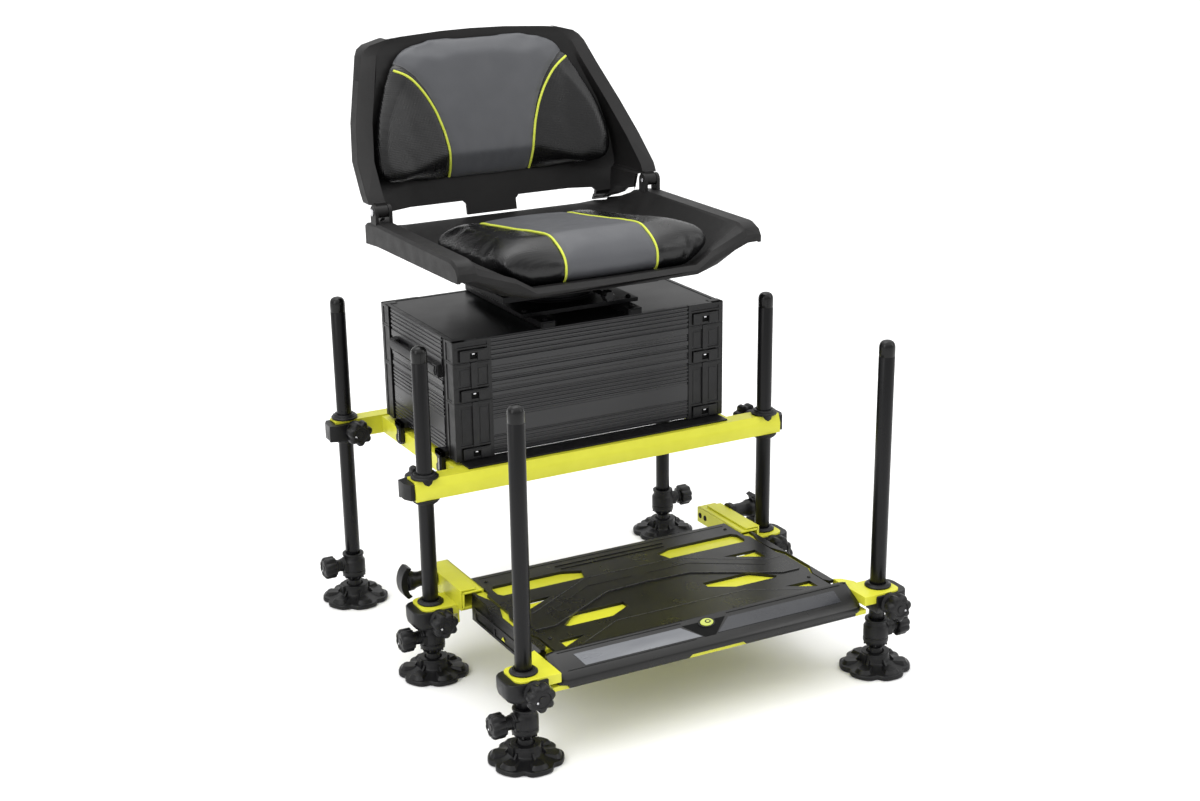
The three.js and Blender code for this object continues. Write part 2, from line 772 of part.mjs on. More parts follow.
// The back shell, lofted from its foot up. Each row of shares gives the height, the rim's half width, how far the
// rim stands in front of the panel as a part of the deepest wing, the rim's own depth, how far the inner skin lags
// behind the outer one as a part of the wall, and the rim's breadth: none below the hinges, where the sides are
// plain walls that reach down to the seat.
const backFootDrop = 49;
const wingDepth = 118;
const rimWidth = 28;
const rimDepth = 28;
const rimWall = 5;
const rimEdge = 3;
const panelEdge = 6;
const panelSlope = 70;
const wrapDepth = 26;
const wrapShare = 0.55;
const backBehind = 15.4;
const backY = seatRear + backBehind;
const backArch = 22;
const backRowShares = [
  [0, 0.845, 0.01, 1, 0, 0], [0.022, 0.857, 0.12, 1, 0, 0], [0.043, 0.866, 0.3, 1, 0, 0],
  [0.071, 0.872, 0.5, 1, 0, 0], [0.101, 0.873, 0.62, 1, 0, 0], [0.12, 0.876, 0.83, 1, 0, 0],
  [0.2, 0.892, 0.88, 1, 1, 0], [0.212, 1.005, 1, 1, 1, 1],
  [0.261, 1.008, 0.944, 1, 0, 1], [0.417, 0.989, 0.663, 1, 0, 1], [0.608, 0.928, 0.415, 1, 0, 1],
  [0.82, 0.837, 0.178, 1, 0, 1], [0.933, 0.79, 0.06, 1, 0, 1], [0.965, 0.765, 0.015, 1, 0, 1],
  [0.985, 0.725, 0.01, 1, 0, 1], [1, 0.61, 0.01, 1, 0, 1],
];
const rearShares = [1.15, 1.3, 1.45];
const backFoot = foldZ - backFootDrop;
const backSpan = backHeight + backFootDrop;
const notchTop = 24;
const notchCorner = 6;
const notchInner = 47;
const notchInset = 69;
const notchOuter = seatHalfWidth - notchInset;

// A point of the back at a part of its height, a distance in front of the panel
function backPoint(x, up, forward) {
  const height = backFoot + backSpan * up;
  const arch = backArch * up ** 2 * (1 - (x / seatHalfWidth) ** 2);
  return [x, backY + backRecline * (height - foldZ) - forward, height + arch];
}

// How far the panel's sides stand in front of its middle where a rim stands that far in front
function wrapOf(forward) {
  return Math.min(wrapDepth, wingDepth * forward * wrapShare);
}

function backRing([up, wide, forward, depth, lag, broad]) {
  const rim = seatHalfWidth * wide;
  const front = wingDepth * forward;
  const wrap = wrapOf(forward);
  const rear = (share) => front - mix(rimEdge * share, Math.max(rimDepth * depth, rimWall + gap), broad);
  const inner = rim - mix(rimWall, rimWidth, broad);
  const skin = rimWall * broad;
  const half = [
    [0, 0, 0], [inner - panelEdge - panelSlope, 0, 0], [inner - panelEdge, wrap, 0], [inner, front, 0],
    [rim - rimEdge * broad, front, 0], [rim, front - rimEdge, 0], [rim, rear(rearShares[0]), 0],
    [rim - skin, rear(rearShares[1]), lag],
    [rim - skin, front - mix(rimEdge * rearShares[2], rimWall, broad), lag],
    [inner + rimWall, front - rimWall, lag], [inner - panelEdge + rimWall, wrap - rimWall, lag],
    [inner - panelEdge - panelSlope, -rimWall, lag], [0, -rimWall, lag],
  ];
  return bothHalves(half).map(([x, forwards, lags]) => {
    const [, y, z] = backPoint(x, up, forwards);
    return [x, y, z + lags * rimWall];
  });
}

function backrestShell() {
  const shell = loft(backRowShares.map(backRing), [0, 1]);
  const notch = plate([
    [notchInner, backFoot - overrun], [notchOuter, backFoot - overrun], [notchOuter, backFoot + notchTop - notchCorner],
    [notchOuter - notchCorner, backFoot + notchTop], [notchInner + notchCorner, backFoot + notchTop],
    [notchInner, backFoot + notchTop - notchCorner],
  ], -backY - wingDepth, wingDepth - backY).rotateX(Math.PI / 2);
  const lugs = [-1, 1].flatMap((side) => {
    const [from, to] = [side * lugX - lugWidth / 2, side * lugX + lugWidth / 2];
    return [
      rodX(lugRadius, from, to).translate(0, foldY, foldZ),
      block(from, to, foldY, foldY + lugDepth, foldZ, foldZ + lugRise),
    ];
  });
  const bore = rodX(foldPinRadius + gap, -seatHalfWidth, seatHalfWidth, smallSides);
  return cut(join(shell, ...lugs), notch, mirrored(notch), bore.translate(0, foldY, foldZ));
}

piece('backrest_shell', backrestShell(), shellPlastic);

// The seat cushion. Each row of shares gives the place from front to rear, the height of the crown as a part of
// the arm height, the half width, and how far the underside is drawn up as a part of the arm height.
const seamX = 80;
const seamWidth = 5;
const seamDepth = 3;
const seatTuck = 6;
const seatSinkShare = 0.38;
const seatRowShares = [
  [0.051, 0.62, 0.6, 0.15], [0.053, 0.78, 0.64, 0.07], [0.058, 0.9, 0.67, 0.02], [0.068, 0.99, 0.69, 0],
  [0.085, 1.07, 0.702, 0], [0.11, 1.115, 0.708, 0], [0.14, 1.13, 0.708, 0], [0.2, 1.105, 0.705, 0],
  [0.323, 1.026, 0.69, 0], [0.45, 0.925, 0.67, 0], [0.573, 0.84, 0.645, 0], [0.69, 0.765, 0.62, 0],
  [0.77, 0.71, 0.6, 0], [0.8, 0.665, 0.585, 0.01], [0.812, 0.61, 0.565, 0.06], [0.818, 0.52, 0.54, 0.16],
];
const seatSideShares = [[1, 0.56], [0.985, 0.74], [0.94, 0.87], [0.84, 0.95], [0.66, 0.985]];

// The pan's height and the half width of its flat, between two rows of the shell
function panAt(along) {
  const next = shellRowShares.findIndex(([place]) => place >= along);
  const [low, high] = [shellRowShares[next - 1], shellRowShares[next]];
  const share = (along - low[0]) / (high[0] - low[0]);
  return [panTop + armHeight * mix(low[1], high[1], share), panHalfWidth * mix(low[2], high[2], share)];
}

function seatCushionRing([along, rise, wide, lift]) {
  const [pan, flat] = panAt(along);
  const bottom = pan + gap + armHeight * lift;
  const top = panTop + armHeight * rise;
  const outer = seatHalfWidth * wide;
  const tuckX = Math.min(outer, flat + panBend) - seatTuck;
  const tuckFloor = pan + (panBendRise * (tuckX - flat)) / panBend + seatTuck / 2;
  const half = [
    [0, bottom], [Math.min(flat, outer) - seatTuck, bottom],
    [tuckX, Math.max(tuckFloor, mix(bottom, top, seatSinkShare))],
    ...seatSideShares.map(([out, up]) => [outer * out, mix(bottom, top, up)]),
    [seamX + seamWidth, top - seamDepth / 2], [seamX, top - seamDepth], [seamX - seamWidth, top],
    [seamX / 2, top + seamDepth / 2], [0, top + seamDepth / 2],
  ];
  return bothHalves(half).map(([x, z]) => [x, seatY(along, x), z]);
}

piece('seat_cushion', loft(seatRowShares.map(seatCushionRing), [0, 2]), vinyl);

// The back cushion, whose sides wrap forward. Each row of shares gives the height, the half width, the thickness,
// and the seam's place as a part of the half width.
const backPad = 29;
const backCushionInset = 40;
const backCushionHalfWidth = seatHalfWidth - backCushionInset;
const backWrap = 28;
const backCushionRowShares = [
  [0.2085, 0.52, 0.3, 0.66], [0.213, 0.68, 0.68, 0.51], [0.225, 0.82, 0.88, 0.42], [0.25, 0.92, 0.97, 0.38],
  [0.29, 0.975, 1, 0.355], [0.36, 1, 1, 0.35], [0.45, 0.99, 1, 0.36], [0.53, 0.965, 1, 0.39],
  [0.608, 0.935, 1, 0.44], [0.68, 0.895, 0.99, 0.505], [0.75, 0.85, 0.97, 0.58], [0.82, 0.8, 0.95, 0.695],
  [0.88, 0.75, 0.92, 0.83], [0.933, 0.67, 0.86, 0.88], [0.955, 0.61, 0.78, 0.86], [0.97, 0.53, 0.66, 0.82],
  [0.981, 0.4, 0.35, 0.74],
];
const backSideShares = [[0.985, 0.3], [1, 0.55], [0.985, 0.8], [0.95, 0.95]];
const backRearShare = 0.95;

// The half width of the panel's flat, and how far its edge stands in front, between two rows of the shell
function panelAt(up) {
  const next = backRowShares.findIndex(([height]) => height >= up);
  const [low, high] = [backRowShares[next - 1], backRowShares[next]];
  const share = (up - low[0]) / (high[0] - low[0]);
  const rim = mix(rimWall, rimWidth, mix(low[5], high[5], share));
  const edge = seatHalfWidth * mix(low[1], high[1], share) - rim - panelEdge;
  return [edge - panelSlope, mix(wrapOf(low[2]), wrapOf(high[2]), share)];
}

function backCushionRing([up, wide, thick, seamShare]) {
  const outer = backCushionHalfWidth * wide;
  const depth = backPad * thick;
  const seam = outer * seamShare;
  const [panelFlat, panelWrap] = panelAt(up);
  const panelForward = (x) => (panelWrap * Math.max(0, x - panelFlat)) / panelSlope;
  const wrapAt = (x) => {
    const out = Math.max(0, x - seam) / (backCushionHalfWidth - seamX);
    return Math.min(backWrap * out ** 2, panelForward(outer) + depth);
  };
  const rearFlat = Math.min(panelFlat, outer * backRearShare);
  const rearEdge = Math.max(rearFlat, outer - panelEdge * 2) + gap;
  const half = [
    [0, 0], [rearFlat, 0], [rearEdge, panelForward(rearEdge)],
    ...backSideShares.map(([out, forward]) => [
      outer * out, mix(panelForward(outer), wrapAt(outer) + depth, forward),
    ]),
    [mix(seam, outer, 1 / 2), depth + wrapAt(mix(seam, outer, 1 / 2))],
    [seam + seamWidth, depth], [seam, depth - seamDepth], [seam - seamWidth, depth], [seam / 2, depth],
    [0, depth],
  ];
  return bothHalves(half).map(([x, forward]) => backPoint(x, up, forward + gap));
}

piece('backrest_cushion', loft(backCushionRowShares.map(backCushionRing), [0, 1]), vinyl);

// Clamps that hold the footplate to the legs: a block round the leg, a collar on it and a housing for the knob,
// for a leg on the right with its axis at the origin and the block's foot at zero
const blockHeight = 31;
const blockFront = 30;
const blockRear = 26;
const blockOuter = 24;
const blockCorner = 10;
const housingOuter = 38;
const housingInner = 24;
const housingFront = 33;
const housingRear = 24;
const housingDrop = 3;
const housingCorner = 12;
const housingNose = 5;
const housingNoseRadius = 15;
const clampKnobHeight = 13;

function legClamp(inner) {
  const ring = plate([
    [-inner, -blockFront], [blockOuter - blockCorner, -blockFront], [blockOuter, blockCorner - blockFront],
    [blockOuter, blockRear - blockCorner], [blockOuter - blockCorner, blockRear], [-inner, blockRear],
  ], 0, blockHeight);
  const housing = plate([
    [-housingInner, -housingFront], [housingOuter - housingCorner, -housingFront],
    [housingOuter, housingCorner - housingFront], [housingOuter, housingRear - housingCorner],
    [housingOuter - housingCorner, housingRear], [0, housingRear], [-housingInner, 0],
  ], -housingDrop, blockHeight - housingDrop);
  const collar = rodZ(collarRadius, blockHeight - gap, blockHeight + collarHeight);
  const nose = rodY(housingNoseRadius, -housingFront - housingNose, overrun - housingFront);
  const bore = rodZ(bushBore, -blockHeight, blockHeight * 2);
  return cut(join(ring, housing, collar, nose.translate(0, 0, clampKnobHeight)), bore);
}

const clampKnobY = housingFront + housingNose + gap;

// Brackets on the front frame legs, each with a channel that the footplate's beam slides in
const channelHeight = 34;
const channelWall = 3;
const channelDepth = 27;
const channelBehindLeg = 82;
const channelRear = channelBehindLeg - frameHalfDepth;
const channelReach = 42;
const channelFront = -frameHalfDepth - channelReach;
const channelSink = 7;
const channelBottom = bracketHeight - channelSink;
const channelTop = channelBottom + channelHeight;
const webLow = 50;
const webHigh = 14;
const wingBehindLeg = 58;
const wingY = wingBehindLeg - frameHalfDepth;
const wingDrop = 10;
const wingZ = channelTop - wingDrop;
const wingStemRadius = 5;
const bracketBottom = bracketHeight - blockHeight;
const blockInner = frameHalfWidth - slideHalfWidth + channelWall;

function bracket() {
  const clamp = moved(legClamp(blockInner), frameHalfWidth, -frameHalfDepth, bracketBottom);
  const [inner, outer] = [slideHalfWidth - channelDepth, slideHalfWidth];
  const spine = block(outer - channelWall, outer, channelFront, channelRear, channelBottom, channelTop);
  const flanges = [channelBottom, channelTop - channelWall].map((z) => block(
    inner, outer, channelFront, channelRear, z, z + channelWall,
  ));
  const web = bar([
    [-frameHalfDepth - blockFront, bracketBottom], [channelRear - webLow, bracketBottom],
    [channelRear - webHigh, channelBottom + channelWall / 2], [channelFront + webHigh, channelBottom + channelWall / 2],
  ], outer - channelWall, outer);
  const stemHole = rodX(wingStemRadius + gap, inner, outer + overrun, smallSides).translate(0, wingY, wingZ);
  return cut(join(clamp, spine, ...flanges, web), stemHole);
}

piece('bracket_left', mirrored(bracket()), limeCoat);
piece('bracket_right', bracket(), limeCoat);

const beamOuter = slideHalfWidth - channelWall - gap;
const beamBottom = channelBottom + channelWall + gap;
const beamTop = channelTop - channelWall - gap;

// Wing knobs that lock the slide: a stem through the channel, a round hub and a crescent grip
const wingHubRadius = 16.5;
const wingHub = 47;
const wingGrip = 14;
const wingHalfLength = 27;
const wingHalfWidth = 11;
const wingDip = 9;

function wingKnob() {
  const face = slideHalfWidth + gap;
  const stem = rodX(wingStemRadius, beamOuter + gap, face + overrun, smallSides);
  const hub = rodX(wingHubRadius, face, face + wingHub);
  const grip = bar([
    [-wingHalfWidth, -wingHalfLength], [0, -wingHalfLength], [wingHalfWidth, -wingDip], [wingHalfWidth, wingDip],
    [0, wingHalfLength], [-wingHalfWidth, wingHalfLength], [-wingDip / 2, wingDip], [-wingDip / 2, -wingDip],
  ], face + wingHub - overrun, face + wingHub + wingGrip);
  return join(stem, hub, grip);
}

piece('wing_knob_left', mirrored(wingKnob()), blackPlastic, 0, wingY, wingZ);
piece('wing_knob_right', wingKnob(), blackPlastic, 0, wingY, wingZ);

// The footplate's frame: a beam on each side that slides in its channel, cross bars, a front sill, and clamps
// round the front legs
const beamWidth = 36;
const beamWall = 3;
const beamOut = 13;
const beamRear = channelRear + beamOut;
const beamHoleRadius = 5;
const beamHoleInset = 10;
const beamHolePitch = 16;
const deckThickness = 5;
const deckRise = 4;
const deckTop = footplateHeight + deckRise;
const deckUnder = deckTop - deckThickness;
const coverWidth = 14;
const coverOuter = beamOuter - coverWidth;
const coverDrop = 20;
const coverShoulder = 18;
const coverSlope = 9;
const coverSetback = 3;
const coverFrom = channelFront - coverSetback;
const barHeight = 12;
const barHalfDepth = 17;
const barPlaceShares = [0.06, 0.194, 0.454, 0.686];
const noseBehind = 23;
const noseRear = frontLegY + noseBehind;
const noseAhead = 27;
const noseFront = frontLegY - noseAhead;
const noseBeyondDeck = 32;
const noseHalfWidth = deckHalfWidth + noseBeyondDeck;
const noseDrop = 25;
const noseFoot = footplateHeight - noseDrop;
const sillBehind = 40;
const sillRear = noseRear + sillBehind;
const sillDrop = 33;
const sillFoot = footplateHeight - sillDrop;
const sillInset = 6;
const deckSetback = 77;
const deckRear = channelRear - deckSetback;
const beamInner = beamOuter - beamWidth;

function footplateBeam() {
  const tube = block(beamInner, beamOuter, coverFrom, beamRear, beamBottom, beamTop);
  const hollow = block(
    beamInner + beamWall, beamOuter - beamWall, coverFrom, beamRear + overrun,
    beamBottom + beamWall, beamTop - beamWall,
  );
  const holes = [0, 1].map((step) => rodX(beamHoleRadius, beamInner - overrun, beamOuter - beamWall - gap, smallSides)
    .translate(0, beamRear - beamHoleInset - step * beamHolePitch, (beamBottom + beamTop) / 2));
  const coverTop = deckUnder - gap;
  const cover = plate([
    [beamInner, beamBottom], [coverOuter - coverWidth, beamBottom], [coverOuter - coverWidth, beamBottom - coverDrop],
    [coverOuter, beamBottom - coverDrop], [coverOuter, coverTop - coverShoulder], [coverOuter - coverSlope, coverTop],
    [beamInner, coverTop],
  ], -coverFrom - gap, -sillRear + overrun).rotateX(Math.PI / 2);
  return join(cut(tube, hollow, ...holes), cover);
}

function footplateFrame() {
  const beam = footplateBeam();
  const barTop = deckUnder - gap;
  const barReach = beamInner + beamWall / 2;
  const bars = barPlaceShares.map((share) => {
    const y = mix(deckRear, noseRear, share);
    return block(-barReach, barReach, y - barHalfDepth, y + barHalfDepth, barTop - barHeight, barTop);
  });
  const inner = frameHalfWidth - noseHalfWidth - gap;
  const clamp = moved(legClamp(inner), frameHalfWidth, frontLegY, footplateHeight - blockHeight);
  const reach = noseHalfWidth + blockCorner;
  const sill = block(-reach, reach, noseFront + sillInset, sillRear, sillFoot, noseFoot - gap);
  const ledge = block(-barReach, barReach, noseRear + gap, sillRear, sillFoot, barTop);
  return join(beam, mirrored(beam), ...bars, sill, ledge, clamp, mirrored(clamp));
}

piece('footplate_frame', footplateFrame(), limeCoat);

for (const [sideName, side] of [['left', -1], ['right', 1]]) {
  const x = side * frameHalfWidth;
  const heights = [bracketBottom + clampKnobHeight, footplateHeight - blockHeight + clampKnobHeight];
  piece(`bracket_knob_${sideName}`, starKnob(-1), blackPlastic, x, -frameHalfDepth - clampKnobY, heights[0]);
  piece(`footplate_knob_${sideName}`, starKnob(-1), blackPlastic, x, frontLegY - clampKnobY, heights[1]);
}

// The deck: a thin plate on the bars with slots over them, two raised fields and a stepped edge. The outlines are
// shares of its half width and of its length from rear to front, and the raised ones are right halves.
const fieldRise = 1.5;
const deckEdgeShares = [
  [1.02, 0], [1.02, 0.2], [1.045, 0.23], [1.045, 0.47], [1.075, 0.53], [1.075, 0.74], [1.045, 0.8], [1.045, 1],
];
const deckHoleShares = [
  [[0.43, 0.149], [0.95, 0.149], [0.98, 0.175], [0.98, 0.25], [0.955, 0.276], [0.34, 0.276], [0.3, 0.19]],
  [[0.31, 0.638], [0.681, 0.638], [0.819, 0.74], [0.797, 0.759], [0.474, 0.759], [0.31, 0.689]],
  [[0.681, 0.4], [0.935, 0.4], [0.935, 0.505]],
  [[0.767, 0.879], [0.957, 0.879], [0.957, 0.956]],
];
const raisedFieldShares = [
  [[0, 0.298], [0.353, 0.298], [0.909, 0.549], [1.017, 0.549], [1.017, 0.729], [0.875, 0.729], [0.323, 0.497],
    [0, 0.483]],
  [[0, 0.825], [0.496, 0.825], [0.862, 0.978], [0.862, 1], [0, 1]],
];

function deckPoint([out, along]) {
  return [deckHalfWidth * out, mix(deckRear, noseRear + gap, along)];
}

function footplateDeck() {
  const edge = deckEdgeShares.map(deckPoint);
  const slots = deckHoleShares.flatMap((hole) => {
    const slot = plate(hole.map(deckPoint), deckUnder - overrun, deckTop + overrun);
    return [slot, mirrored(slot)];
  });
  const outline = [...edge, ...edge.slice().reverse().map(([x, y]) => [-x, y])];
  const fields = raisedFieldShares.map((half) => {
    const field = bothHalves(half.map(deckPoint));
    return plate(field, deckUnder, deckTop + fieldRise);
  });
  return cut(join(plate(outline, deckUnder, deckTop), ...fields), ...slots);
}

piece('footplate_deck', footplateDeck(), blackPlastic);

// The nose: a sloping bar on the sill with cut corners and a spirit level's pocket
const noseTop = 9;
const noseFlat = 4;
const noseSlope = 10;
const noseShoulder = 15;
const noseLip = 8;
const noseCorner = 12;
const levelHalfWidth = 15;
const levelHalfDepth = 7;
const levelDepth = 4;

function footplateNose() {
  const top = footplateHeight + noseTop;
  const profile = bar([
    [noseRear, noseFoot], [noseFront, noseFoot], [noseFront, noseFoot + noseLip],
    [noseFront + noseSlope, noseFoot + noseShoulder], [noseRear - noseFlat, top], [noseRear, top],
  ], -noseHalfWidth, noseHalfWidth);
  const plan = plate([
    [-noseHalfWidth, noseRear], [-noseHalfWidth, noseFront + noseCorner], [noseCorner - noseHalfWidth, noseFront],
    [noseHalfWidth - noseCorner, noseFront], [noseHalfWidth, noseFront + noseCorner], [noseHalfWidth, noseRear],
  ], noseFoot - overrun, top + overrun);
  const middle = (noseFront + noseSlope + noseRear) / 2;
  const pocketFloor = (noseFoot + noseShoulder + top) / 2 - levelDepth;
  const pocket = block(
    -levelHalfWidth, levelHalfWidth, middle - levelHalfDepth, middle + levelHalfDepth, pocketFloor, top + overrun,
  );
  return cut(keepInside(profile, plan), pocket);
}

piece('footplate_nose', footplateNose(), blackPlastic);

// The front and rear of the whole part stand as far from its middle
const whole = new THREE.Box3().setFromObject(part);
part.children.forEach((child) => child.position.setY(child.position.y - (whole.min.y + whole.max.y) / 2));

export default part;
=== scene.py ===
"""The looks of the fishing seat box: materials, soft goods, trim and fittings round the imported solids."""

import math

import bmesh
import bpy
from mathutils import Matrix, Vector, noise
from mathutils.bvhtree import BVHTree


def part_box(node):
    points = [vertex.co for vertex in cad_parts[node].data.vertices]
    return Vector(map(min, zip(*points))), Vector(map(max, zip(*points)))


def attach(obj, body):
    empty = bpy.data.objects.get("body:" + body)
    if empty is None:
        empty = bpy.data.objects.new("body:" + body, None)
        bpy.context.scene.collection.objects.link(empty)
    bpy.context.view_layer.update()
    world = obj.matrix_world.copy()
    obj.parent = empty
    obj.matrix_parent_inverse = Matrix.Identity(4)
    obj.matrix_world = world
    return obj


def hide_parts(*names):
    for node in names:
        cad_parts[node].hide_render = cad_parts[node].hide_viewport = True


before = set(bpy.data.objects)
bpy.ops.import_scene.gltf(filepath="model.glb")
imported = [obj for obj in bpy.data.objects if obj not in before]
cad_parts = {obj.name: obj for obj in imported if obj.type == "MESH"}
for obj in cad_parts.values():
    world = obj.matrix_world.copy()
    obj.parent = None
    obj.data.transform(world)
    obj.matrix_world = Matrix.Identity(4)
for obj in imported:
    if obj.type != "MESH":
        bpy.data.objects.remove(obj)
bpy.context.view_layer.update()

MM = 0.001
# The source's own middle of the legs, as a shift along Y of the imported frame
SHIFT = (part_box("front_rail")[0].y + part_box("rear_rail")[1].y) / 2
scene = bpy.context.scene

# Camera, at the photograph's angle: its right, up and back directions, and its place in metres
camera_data = bpy.data.cameras.new("camera")
camera = bpy.data.objects.new("camera", camera_data)
scene.collection.objects.link(camera)
scene.camera = camera
camera_right = Vector((0.8808, -0.4733, -0.0139)).normalized()
camera_up = Vector((0.1740, 0.2963, 0.9391)).normalized()
camera_back = camera_right.cross(camera_up)
camera_place = Vector((-1.3584, -2.7093 + SHIFT, 1.3311))
turn = Matrix((camera_right, camera_up, camera_back)).transposed().to_4x4()
camera.matrix_world = Matrix.Translation(camera_place) @ turn
camera_data.sensor_width = 36
camera_data.lens = 56.755
camera_data.shift_x = 0.0029
camera_data.shift_y = 0.0623
camera_data.clip_start = 0.05
camera_data.clip_end = 60
scene.view_settings.view_transform = "Standard"


# Materials


def shader(name, roughness, metallic=0.0, coat=0.0, coat_roughness=0.1, specular=0.5):
    """A new material's node tree, its main shader and the piece's own coordinates."""
    made = bpy.data.materials.new(name)
    made.use_nodes = True
    tree = made.node_tree
    bsdf = tree.nodes["Principled BSDF"]
    bsdf.inputs["Roughness"].default_value = roughness
    bsdf.inputs["Metallic"].default_value = metallic
    bsdf.inputs["Coat Weight"].default_value = coat
    bsdf.inputs["Coat Roughness"].default_value = coat_roughness
    bsdf.inputs["Specular IOR Level"].default_value = specular
    place = tree.nodes.new("ShaderNodeTexCoord").outputs["Object"]
    return made, tree, bsdf, place


def node(tree, kind, settings=(), **inputs):
    made = tree.nodes.new(kind)
    for name, value in dict(settings).items():
        setattr(made, name, value)
    for name, value in inputs.items():
        socket = made.inputs[int(name[1:])] if name[0] == "_" else made.inputs[name.replace("_", " ")]
        if isinstance(value, bpy.types.NodeSocket):
            tree.links.new(value, socket)
        else:
            socket.default_value = value
    return made


def noise_of(tree, place, scale, detail=3.0, stretch=(1, 1, 1)):
    """Noise over the piece, with that many waves to the metre."""
    if stretch != (1, 1, 1):
        place = node(tree, "ShaderNodeMapping", Vector=place, Scale=stretch).outputs[0]
    return node(tree, "ShaderNodeTexNoise", Vector=place, Scale=scale, Detail=detail).outputs["Fac"]


def spread(tree, value, low, high, from_low=0.3, from_high=0.7):
    made = node(tree, "ShaderNodeMapRange", Value=value)
    for name, number in (("From Min", from_low), ("From Max", from_high), ("To Min", low), ("To Max", high)):
        made.inputs[name].default_value = number
    return made.outputs["Result"]


def blend_colours(tree, factor, first, second):
    made = node(tree, "ShaderNodeMix", {"data_type": "RGBA"}, Factor=factor)
    for socket, value in ((made.inputs[6], first), (made.inputs[7], second)):
        if isinstance(value, bpy.types.NodeSocket):
            tree.links.new(value, socket)
        else:
            socket.default_value = (*value, 1)
    return made.outputs[2]


def calc(tree, operation, *values):
    """A Math node's result."""
    inputs = {f"_{index}": value for index, value in enumerate(values)}
    return node(tree, "ShaderNodeMath", {"operation": operation}, **inputs).outputs[0]


def bumps(tree, bsdf, *layers):
    """Stacks heights as bumps, each with its depth in metres."""
    normal = None
    for height, depth, strength in layers:
        made = node(tree, "ShaderNodeBump", Height=height, Distance=depth, Strength=strength)
        if normal is not None:
            tree.links.new(normal, made.inputs["Normal"])
        normal = made.outputs["Normal"]
    tree.links.new(normal, bsdf.inputs["Normal"])


GRAIN_DEPTH = 0.0002
DUST = (0.3, 0.3, 0.29)


def surface(name, dark, light, roughness, spread_of=0.06, metallic=0.0, coat=0.0, blotch=30, grain=900,
            grain_strength=0.25, stretch=(1, 1, 1), dust=0.0, specular=0.5):
    """A moulded, painted or anodised finish: two tones in soft blotches, uneven gloss, a fine grain and dust."""
    made, tree, bsdf, place = shader(name, roughness, metallic, coat, specular=specular)
    patches = noise_of(tree, place, blotch, 4, stretch)
    colour = blend_colours(tree, spread(tree, patches, 0, 1), dark, light)
    if dust:
        specks = noise_of(tree, place, blotch * 14, 2)
        colour = blend_colours(tree, spread(tree, specks, 0, dust, 0.62, 0.75), colour, DUST)
    tree.links.new(colour, bsdf.inputs["Base Color"])
    gloss = noise_of(tree, place, blotch * 2.3, 3, stretch)
    tree.links.new(spread(tree, gloss, roughness - spread_of, roughness + spread_of), bsdf.inputs["Roughness"])
    bumps(tree, bsdf, (noise_of(tree, place, grain, 2, stretch), GRAIN_DEPTH, grain_strength))
    return made


lime = surface(
    "lime_powder_coat", (0.56, 0.555, 0.03), (0.60, 0.595, 0.038), 0.38, 0.05, coat=0.1, grain=700, specular=0.35)
lime_trim = surface("lime_trim", (0.52, 0.52, 0.03), (0.57, 0.57, 0.038), 0.44, 0.04, grain=1200, specular=0.3)
tube_black = surface(
    "tube_black", (0.0035, 0.0035, 0.004), (0.0055, 0.0055, 0.006), 0.3, 0.05, blotch=9, stretch=(1, 1, 0.15),
    specular=0.2)
cap_black = surface("cap_black", (0.003, 0.003, 0.003), (0.005, 0.005, 0.005), 0.22, 0.04, specular=0.24)
plastic = surface(
    "moulded_black", (0.0035, 0.0035, 0.004), (0.0065, 0.0065, 0.007), 0.4, 0.08, grain=1100, grain_strength=0.35,
    dust=0.02, specular=0.25)
casting = surface(
    "casting_black", (0.005, 0.005, 0.0055), (0.008, 0.008, 0.0085), 0.4, 0.06, grain=1000, grain_strength=0.4,
    specular=0.3)
anodised, anodised_side = (
    surface(name, (0.005, 0.005, 0.006), (0.008, 0.008, 0.009), 0.3, 0.05, metallic=0.1, blotch=12, grain=600,
            grain_strength=0.08, stretch=stretch, specular=0.55)
    for name, stretch in (("anodised_black", (0.06, 1, 1)), ("anodised_side", (1, 0.06, 1))))
lid_sheet = surface(
    "lid_sheet", (0.004, 0.004, 0.0045), (0.006, 0.006, 0.0065), 0.32, 0.03, blotch=6, grain=1500,
    grain_strength=0.15, specular=0.2)
swivel_black = surface(
    "swivel_black", (0.0025, 0.0025, 0.003), (0.004, 0.004, 0.0045), 0.42, 0.05, blotch=20, grain=1100,
    specular=0.12)
shell_black = surface(
    "shell_black", (0.0065, 0.0062, 0.0062), (0.0088, 0.0084, 0.0084), 0.5, 0.05, blotch=18, grain=1500,
    grain_strength=0.5, specular=0.22)
deck_black = surface(
    "deck_black", (0.004, 0.004, 0.0038), (0.0065, 0.0063, 0.0058), 0.3, 0.04, blotch=10, grain=900,
    grain_strength=0.2, dust=0.008, specular=0.35)
# Painted highlight: a lighter grey for thin strips along the deck's raised edges, where bevels would catch the light
deck_painted_highlight = surface("deck_painted_highlight", (0.018, 0.018, 0.018), (0.028, 0.028, 0.028), 0.28, 0.05, grain=1200, specular=0.5)
# Painted shade: a near-black, matt finish for holes, gaps and inner faces, darker than the parts round them
painted_shade_recess = surface("painted_shade_recess", (0.0015, 0.0015, 0.0015), (0.003, 0.003, 0.003), 0.6, 0.05, specular=0.1)
bright = surface("bright_steel", (0.5, 0.5, 0.52), (0.62, 0.62, 0.64), 0.22, 0.06, metallic=1, blotch=200)
brushed = surface(
    "brushed_plate", (0.10, 0.105, 0.115), (0.17, 0.175, 0.185), 0.32, 0.08, metallic=0.5, blotch=30, grain=500,
    stretch=(0.2, 1, 1), grain_strength=0.4)
gloss_plate = surface(
    "gloss_plate", (0.014, 0.015, 0.019), (0.022, 0.024, 0.028), 0.2, 0.05, coat=0.2, blotch=20, specular=0.4)
piping = surface(
    "lime_piping", (0.46, 0.52, 0.05), (0.56, 0.61, 0.08), 0.5, 0.05, blotch=120, grain=1800, specular=0.2)


